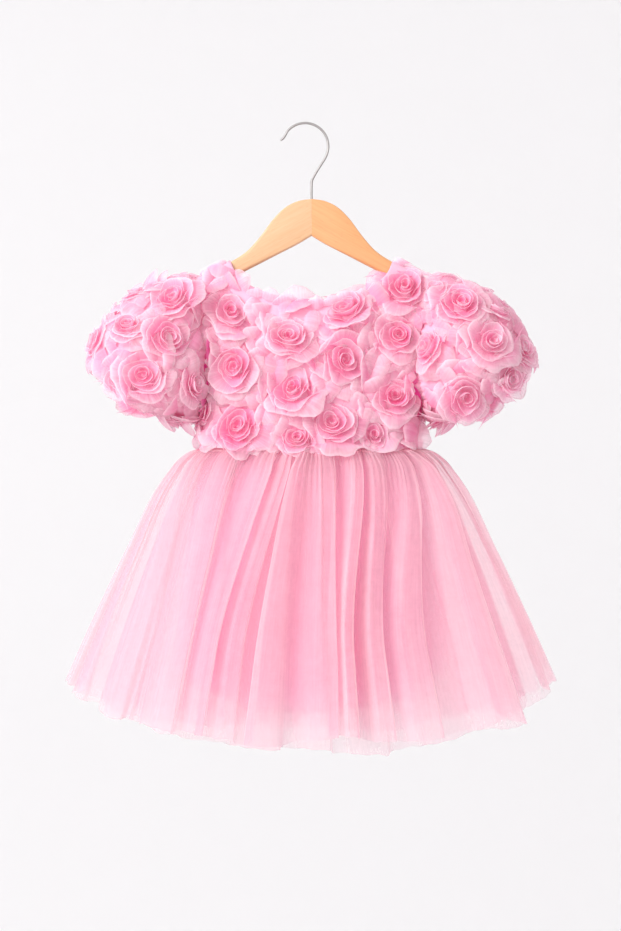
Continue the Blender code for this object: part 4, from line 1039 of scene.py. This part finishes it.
def make_sleeves():
    for word, hand, table, petals, seed in (
        ("left", -1, LEFT_SLEEVE_ROSES, LEFT_SLEEVE_PETALS, 21),
        ("right", 1, RIGHT_SLEEVE_ROSES, RIGHT_SLEEVE_PETALS, 22),
    ):
        surface = sleeve_surface(hand)
        cloth = make_sleeve(f"sleeve_{word}_cloth", hand)
        rng = np.random.default_rng(seed + 50)
        spots = on_sleeve(surface, table, hand, -1) + on_sleeve(surface, BACK_SLEEVE_ROSES, hand, 1)
        loose = on_sleeve(surface, petals, hand, -1)
        low, high = (-30.0, 14.0), (SLEEVE_GIRTH + 30.0, SLEEVE_LENGTH - 6.0)
        loose += round_roses(rng, surface, hand, spots, low, high)
        loose += between_roses(rng, surface, spots, (0.0, 24.0), (SLEEVE_GIRTH, SLEEVE_LENGTH - 8.0), 900)
        cuff = [(g, SLEEVE_LENGTH - rng.uniform(3, 9)) for g in np.arange(6.0, SLEEVE_GIRTH, CUFF_STEP)]
        loose += along_edge(rng, cuff, [180.0] * len(cuff), CUFF_EDGE, 60.0)
        for middle in (0.5 * SLEEVE_GIRTH, 0.0):
            ragged = [((middle + rng.uniform(-34.0, 34.0)) % SLEEVE_GIRTH, length + rng.uniform(-4.0, 4.0))
                      for length in np.arange(20.0, SLEEVE_LENGTH - 4.0, RAGGED_STEP)]
            loose += along_edge(rng, ragged, rng.choice([0.0, 180.0], len(ragged)), RAGGED)
        roses = petals_on(f"sleeve_{word}_roses", surface, hand, spots, loose, seed)
        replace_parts(cloth, f"sleeve_{word}")


# ---------------------------------------------------------------- skirt

# The outer layer's large folds across the front: where each leaves the waist and reaches the hem, how far
# it stands out beside the rest, how deep the recess to its right is, how much longer it hangs, and how
# far it leans over its neighbour (rightwards when above 0).
# Columns: waist_x, hem_x, crest, recess, longer, lean.
FRONT_FOLDS = [
    (-124, -262, 0.6, 0.5, 2, 0.3),
    (-116, -212, 0.5, 0.3, -3, 0.2),
    (-81, -161, 1, 0.6, 4, 0.4),
    (-40, -132, 1, 1.3, -2, 0.9),
    (-21.5, -101, 0.7, 0.5, 3, 0.9),
    (-11, -47, 1.5, 0.2, 6, -0.9),
    (15, 20, 0.6, 1.3, -4, 0.9),
    (46, 41, 1.2, 1.3, -2, 0.2),
    (61, 80, 0.6, 0.5, 4, 0.4),
    (91, 114, 1.2, 0.4, 7, 0.6),
    (104, 193, 1.7, 1.5, 5, 1.1),
    (118, 262, 0.5, 0.4, 2, 0.4),
]
SIDE_FOLD = (0.8, 0.6, 0.0, 0.5)  # its crest, recess, longer and lean
BACK_FOLDS = 13
UNDER_FOLDS = 14
LINING_FOLDS = 12
OUTER_LENGTH = {"side": 1.0, "front": 1.22, "back": 1.19}
UNDER_LENGTH = {"side": 1.035, "front": 1.275, "back": 1.24}
LINING_LENGTH = {"side": 0.93, "front": 1.13, "back": 1.10}
HEM_DROP = SKIRT["drop"][-1]
ROWS_CLOSER = 1.25  # the power that puts rows closer together near the waist
GATHER_DEPTH = 1.2
GATHER_FADE = 0.14  # this and the next two are shares of a layer's length
SEAM_RISE = 0.012
SEAM_SHARE = 0.006


def layer_length(turn, length):
    """How long a layer is beside the table's drop, at a turn round the waist from the middle of the front."""
    facing = np.cos(turn)
    front = (length["front"] - length["side"]) * np.clip(facing, 0, 1)
    back = (length["back"] - length["side"]) * np.clip(-facing, 0, 1)
    return length["side"] + front + back


def outer_fold_rows():
    """The outer layer's folds all round, as columns: turn at the waist and at the hem, crest, recess,
    longer, lean."""
    waist, hem = SKIRT["half_width"][[0, -1]]
    rng = np.random.default_rng(5)
    rows = [(np.arcsin(w / waist), np.arcsin(h / hem), *rest) for w, h, *rest in FRONT_FOLDS]
    rows.append((np.pi / 2, np.pi / 2, *SIDE_FOLD))
    for x in np.linspace(252.0, -252.0, BACK_FOLDS) + 9 * np.sin(2.1 * np.arange(BACK_FOLDS)):
        turn = np.pi - np.arcsin(x / hem)
        rows.append((turn, turn, rng.uniform(0.7, 1.3), rng.uniform(0.4, 1.1), rng.uniform(-5, 5),
                     rng.choice([-0.8, 0.8])))
    rows.append((3 * np.pi / 2, 3 * np.pi / 2, *SIDE_FOLD))
    return np.array(rows).T


def even_fold_rows(count, seed):
    """Folds all round a layer, uneven in width, height, length and lean."""
    rng = np.random.default_rng(seed)
    spread = 2 * np.pi * (np.arange(count) + rng.uniform(-0.25, 0.25, count)) / count
    turn = spread - 0.22 * np.sin(2 * spread)
    return np.array([
        turn, turn, rng.uniform(0.6, 1.2, count), rng.uniform(0.5, 1.2, count), rng.uniform(-6, 6, count),
        rng.choice([-0.8, 0.8], count) * rng.uniform(0.4, 1.2, count),
    ])


def round_the_waist(values, k, jump=0.0):
    """Smooth values at any fold number k from those at whole ones, all round; jump is a full turn."""
    count = len(values)
    low = np.floor(k).astype(int)
    t = smooth_step(k - low) if jump == 0.0 else k - low
    here = values[low % count] + jump * (low // count)
    after = values[(low + 1) % count] + jump * ((low + 1) // count)
    return here * (1 - t) + after * t


def noise_line(turn, seed):
    """A slow random line that meets itself after a full turn."""
    rng = np.random.default_rng(seed)
    total = np.zeros_like(turn)
    for waves in (3, 5, 8, 13, 21, 34):
        height, start = rng.normal(), rng.uniform(0, 6.3)
        total = total + height * np.sin(waves * turn + start) / waves**0.5
    return total


def layer_shape(layer, drop):
    """A layer's half width, front depth, back depth and wave at a drop."""
    size = {name: read_off(SKIRT, "drop", drop, name) for name in SKIRT}
    wave = size[layer + "_wave"]
    if layer == "lining":
        return size["lining_half_width"], size["lining_front"], size["lining_back"], wave
    inset = size["under_inset"] if layer == "under" else 0.0
    return size["half_width"] - inset, size["front"] - inset, size["back"] - inset, wave


def under_seam(v, fade):
    """1 just under the waist seam and 0 in it, fading out below as exp(-v / fade) does."""
    return np.exp(-v / fade) * smooth_step(v / SEAM_RISE)


def closed_share(layer, points, out, facing, sunk, v, cover):
    """How much of the view the threads close at each place.  cover is how much they close seen square on.
    A side of a fold that is turned edge-on closes more, in proportion to how far it is turned away from
    the mean outward way.  Crests close more than recesses, and the front and back more than the sides.
    The cloth thins out near the hem, and the lining at its sides too.  In the seam it is above 1."""
    along = np.roll(points, -1, axis=1) - np.roll(points, 1, axis=1)
    downward = np.gradient(points, axis=0)
    square = np.abs((unit(np.cross(along, downward))[..., :2] * out).sum(axis=-1))
    # these also paint the net paler where it closes more, as a painted highlight on edge-on fold sides and
    # crests
    layers = (1.4 - 0.6 * sunk) * (0.6 + 0.4 * np.abs(facing)) / np.clip(square, 0.14, 1.0)
    closes = 1 - (1 - cover) ** layers
    if layer == "lining":
        closes = closes * (0.15 + 0.85 * smooth_step(1.3 * np.abs(facing) - 0.1))
        closes = closes * (1 - 0.35 * smooth_step((v - 0.8) / 0.2))
    closes = closes * (1 - 0.3 * smooth_step((v - 0.86) / 0.14))
    # above 1 in the seam, which the net paints dark as its stitching and painted shadow under the bodice
    return closes + (v < SEAM_SHARE)


def skirt_layer(layer, folds, length, per_fold, rows, cover, seed, material, slot, fullness):
    """A gathered layer of cloth.  Its mean is an oval on each level.  The folds carry it out and in: the
    share of the way from a crest down to the recess after it is the square of (1 - cosine) / 2, so
    that crests are broad and recesses narrow.  A sine of twice the fold number and each fold's lean carry
    it sideways, so that sides stand steeply and lap over what is beside them.  Short gathers fade out
    below the waist.  The attribute depth is 1 in the deepest recesses and gathers, where many layers lie
    behind one another; the net is painted a deeper pink there as painted shade."""
    count = folds.shape[1]
    at_waist, at_hem, crest, recess, longer, lean = folds[:, np.argsort(folds[1])]
    k = np.linspace(0, count, count * per_fold, endpoint=False)[None, :]
    v = np.linspace(0, 1, rows)[:, None] ** ROWS_CLOSER
    turn_waist = round_the_waist(at_waist, k, 2 * np.pi)
    turn_hem = round_the_waist(at_hem, k, 2 * np.pi)
    turn = turn_waist + (turn_hem - turn_waist) * smooth_step(np.clip(v * 1.4, 0, 1)) ** 0.6
    drop = HEM_DROP * v
    half_width, front, back, wave = layer_shape(layer, drop)
    facing = np.cos(turn)
    blend = 0.5 + 0.5 * np.clip(facing * 4, -1, 1)
    half_depth = front * blend + back * (1 - blend)
    fine = noise_line(3 * turn_hem, seed)
    ragged = noise_line(12 * turn_hem, seed + 5)
    fold_longer = round_the_waist(longer, k) + 2.6 * noise_line(turn_hem, seed) + 1.2 * fine
    fold_longer = fold_longer + 0.9 * ragged
    down = drop * layer_length(turn, length) + fold_longer * v**2
    x, y = half_width * np.sin(turn), -half_depth * facing
    out = unit(np.stack([np.sin(turn) / half_width, -facing / half_depth], axis=-1))
    side = np.stack([-out[..., 1], out[..., 0]], axis=-1)
    spacing = np.gradient(turn, axis=1) * per_fold * np.hypot(half_width * facing, half_depth * np.sin(turn))
    wander = 0.35 * noise_line(turn_hem, seed + 2) * v * (1 - v) * 4
    phase = 2 * np.pi * k
    sunk = (0.5 - 0.5 * np.cos(phase)) ** 2
    deep = recess[np.floor(k).astype(int) % count] * (1 + 0.5 * wander)
    high = round_the_waist(crest, k)
    stand = wave * fullness * (high - (high + deep) * sunk)
    ripple = noise_line(2 * turn_hem, seed + 3) * np.cos(5 * v + fine) + 0.7 * fine
    stand = stand + 0.22 * wave * ripple
    gather = np.sin(150 * turn_waist + 6 * np.sin(9 * turn_waist)) + 0.7 * np.sin(223 * turn_waist)
    stand = stand + GATHER_DEPTH * gather * under_seam(v, GATHER_FADE)
    slide = 0.55 * spacing / (4 * np.pi) * np.sin(2 * phase)
    slide = (slide + round_the_waist(lean, k) * stand) * smooth_step(v / 0.08)
    points = np.stack([
        x + out[..., 0] * stand + side[..., 0] * slide,
        y + out[..., 1] * stand + side[..., 1] * slide,
        WAIST_Z - down,
    ], axis=-1)
    # painted shade: the deepest recesses, and the gathers' hollows below the seam
    depth = sunk**3 * np.clip(deep - 0.3, 0.0, 1.3) * smooth_step(v / 0.1)
    depth = depth + 0.6 * np.clip(-gather, 0.0, 1.0) * under_seam(v, 0.1)
    arc = np.cumsum(np.linalg.norm(np.diff(points[-1], axis=0, prepend=points[-1][:1]), axis=-1))
    uv = np.stack([arc[None, :] + 0 * v, down + 0 * k], axis=-1) * MILLIMETRE
    faces = grid_faces(rows, k.shape[1], closed=True)
    return new_piece(f"skirt_{layer}_cloth", points, faces, material, slot, uv=uv,
                     cover=closed_share(layer, points, out, facing, sunk, v, cover),
                     depth=np.clip(depth, 0.0, 1.0))


def make_skirt():
    outer = skirt_layer("outer", outer_fold_rows(), OUTER_LENGTH, 36, 64, 0.36, 31, TULLE, "tulle", 1.25)
    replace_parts(outer, "skirt_tulle_outer")
    under = skirt_layer("under", even_fold_rows(UNDER_FOLDS, 6), UNDER_LENGTH, 68, 64, 0.42, 41, TULLE,
                        "tulle", 1.1)
    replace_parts(under, "skirt_tulle_under")
    lining = skirt_layer("lining", even_fold_rows(LINING_FOLDS, 7), LINING_LENGTH, 30, 40, 0.88, 51, LINING,
                         "lining", 1.0)
    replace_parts(lining, "skirt_lining")
    solidify(lining, 0.5)


# ---------------------------------------------------------------- hanger

WOOD = named("out top underside thickness corner", [
    (0.02, -84.9, -126.9, 11, 2.5),
    (16, -87.6, -136.5, 11, 2.5),
    (31, -95.5, -144.2, 11, 2.5),
    (44, -108.5, -150.8, 11, 3),
    (57, -126, -157.6, 11, 3.5),
    (71, -142, -164.8, 11, 4),
    (91, -155.9, -175.4, 11, 4),
    (112, -166.9, -186.4, 11, 4),
    (132, -177.4, -195.7, 11, 4),
    (135.5, -180.2, -196.4, 9.4, 3.8),
    (137.5, -184, -193.6, 6.4, 3),
])
CORNER_POINTS = 6
ARM_START, ARM_END, ARM_SECTIONS = 0.15, 132.0, 90
TIP_START, TIP_END, TIP_SECTIONS = 132.5, 137.5, 10
WIRE = 2.8
WIRE_STEPS = 220
WIRE_SIDES = 16
ARCH_RADIUS = 26.4
STEM_FOOT_Z = -106.9


def make_wood(name, hand, material, slot):
    """Half of the hanger: a section with round corners carried along the arm, closed at both ends."""
    joint = WOOD["out"][:1]
    arm = np.linspace(joint[0] + ARM_START, ARM_END, ARM_SECTIONS)
    out = np.concatenate([joint, arm, np.linspace(TIP_START, TIP_END, TIP_SECTIONS)])[:, None]
    top, under, thick, corner = (read_off(WOOD, "out", out, name)
                                 for name in ("top", "underside", "thickness", "corner"))
    turn = (np.arange(4)[:, None] + np.linspace(0, 1, CORNER_POINTS)[None, :]).ravel() * np.pi / 2
    quarter = np.repeat(np.arange(4), CORNER_POINTS)
    y_way = np.where((quarter == 0) | (quarter == 3), 1.0, -1.0)[None, :]
    is_top = (quarter < 2)[None, :]
    y = y_way * (thick / 2 - corner) + corner * np.cos(turn)
    z = np.where(is_top, top - corner, under + corner) + corner * np.sin(turn)
    ring = np.stack([hand * out + 0 * y, y, z], axis=-1)
    middle = ring.mean(axis=1, keepdims=True)
    inner, pole = (middle + share * (ring - middle) for share in (0.6, 0.001))
    points = np.concatenate([pole[:1], inner[:1], ring, inner[-1:], pole[-1:]])
    faces = grid_faces(*points.shape[:2], closed=True, flipped=hand > 0)
    return new_piece(name, points, faces, material, slot)


def wire_path():
    """The hook's middle line: a straight stem, a bend, the arch and a turned-out tip, as (x, z)."""
    turn = np.radians(np.linspace(-25.0, 138.0, 15))
    centre_z = WIRE / 2 - ARCH_RADIUS
    arch = np.stack([ARCH_RADIUS * np.cos(turn), centre_z + ARCH_RADIUS * np.sin(turn)], axis=1)
    stem = np.array([(CENTRE_X, STEM_FOOT_Z), (CENTRE_X, -88.0), (CENTRE_X, -70.0), (7.7, -64.5),
                     (10.2, -59.0), (17.0, -47.6)])
    tip = np.array([(-22.4, -12.2), (-25.0, -16.0), (-28.4, -18.8)])
    corners = np.concatenate([stem, arch, tip])
    along = np.concatenate([[0.0], np.cumsum(np.linalg.norm(np.diff(corners, axis=0), axis=1))])
    fine = np.linspace(0.0, along[-1], WIRE_STEPS)
    return np.stack([smooth_between(fine, along, corners[:, axis]) for axis in (0, 1)], axis=1)


def make_hook():
    """The wire: a round section carried along its path, with a rounded tip."""
    path = wire_path()
    way = unit(np.gradient(path, axis=0))
    around = np.linspace(0, 2 * np.pi, WIRE_SIDES + 1)[None, :-1]
    rounding = [0.97, 0.87, 0.7, 0.45, 0.02]
    size = np.ones(len(path))
    size[-len(rounding):] = rounding
    radius = (WIRE / 2 * size)[:, None]
    x = path[:, :1] + radius * np.cos(around) * way[:, 1:] - CENTRE_X
    y = radius * np.sin(around) + 0 * x
    z = path[:, 1:] - radius * np.cos(around) * way[:, :1]
    points = np.stack([x, y, z], axis=-1)
    faces = grid_faces(len(path), WIRE_SIDES, closed=True)
    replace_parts(new_piece("hook_wire", points, faces, STEEL, "hook_wire"), "hanger_hook")


def make_hanger():
    for word, hand, material in (("left", -1, BEECH_LEFT), ("right", 1, BEECH_RIGHT)):
        wood = make_wood(f"hanger_{word}_beech", hand, material, f"beech_{word}")
        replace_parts(wood, f"hanger_wood_{word}")
    make_hook()


# ---------------------------------------------------------------- studio

CAMERA_AWAY = 3.0
VIEW_MIDDLE = (0.0062, 0.0, -0.3876)
VIEW_HEIGHT = 1.0576
STUDIO_RADIUS = 6.5
STUDIO_FLOOR = -3.2


def make_studio():
    """A round pale floor that curves up into the wall, far behind the dress on every side."""
    turn = np.linspace(0, 2 * np.pi, 97)[None, :-1]
    bend = np.linspace(0, np.pi / 2, 13)
    flat = np.linspace(0.001, STUDIO_RADIUS - 2.0, 6)
    reach = np.concatenate([flat, STUDIO_RADIUS - 2.0 + 2.0 * np.sin(bend), [STUDIO_RADIUS]])[:, None]
    level = np.concatenate([0 * flat, 2.0 - 2.0 * np.cos(bend), [9.0]])[:, None] + STUDIO_FLOOR
    points = np.stack([reach * np.cos(turn), reach * np.sin(turn), level + 0 * turn], axis=-1)
    mesh = bpy.data.meshes.new("studio_floor")
    faces = grid_faces(*points.shape[:2], closed=True)
    mesh.from_pydata(points.reshape(-1, 3).tolist(), [], faces.tolist())
    mesh.shade_smooth()
    mesh.materials.append(wall_material())
    new_object("studio_floor", mesh)


def area_light(name, place, aim, size, power):
    """A soft square light at a place, turned to a point."""
    light = bpy.data.lights.new(name, "AREA")
    light.size = size
    light.energy = power
    obj = new_object(name, light)
    obj.location = place
    obj.rotation_euler = (Vector(aim) - Vector(place)).to_track_quat("-Z", "Y").to_euler()
    obj.visible_camera = False


def make_lights():
    world = bpy.data.worlds.new("studio_air")
    world.use_nodes = True
    background = world.node_tree.nodes["Background"]
    background.inputs["Color"].default_value = (1.0, 0.985, 0.99, 1.0)
    background.inputs["Strength"].default_value = 0.84
    bpy.context.scene.world = world
    dress = (0.0, 0.0, -0.4)
    area_light("key_light", (-2.3, -2.0, 1.0), dress, 1.6, 108.0)
    area_light("fill_light", (-0.9, -2.7, 0.1), dress, 2.2, 18.0)
    area_light("back_light", (0.3, 2.4, 0.8), dress, 2.4, 30.0)
    area_light("wall_light", (-3.2, 2.2, 0.4), (-1.0, STUDIO_RADIUS, -0.4), 3.0, 38.0)


def make_camera():
    camera = bpy.data.cameras.new("camera")
    camera.sensor_width = 36.0
    camera.lens = 36.0 * CAMERA_AWAY / VIEW_HEIGHT
    obj = new_object("camera", camera)
    obj.location = (VIEW_MIDDLE[0], -CAMERA_AWAY, VIEW_MIDDLE[2])
    obj.rotation_euler = (np.pi / 2, 0.0, 0.0)
    bpy.context.scene.camera = obj


bpy.context.scene.view_settings.view_transform = "Standard"
bpy.context.scene.cycles.transparent_max_bounces = 24  # many petals and folds lie over one another
bpy.context.scene.cycles.diffuse_bounces = 8
make_hanger()
make_bodice()
make_sleeves()
make_skirt()
make_studio()
make_lights()
make_camera()
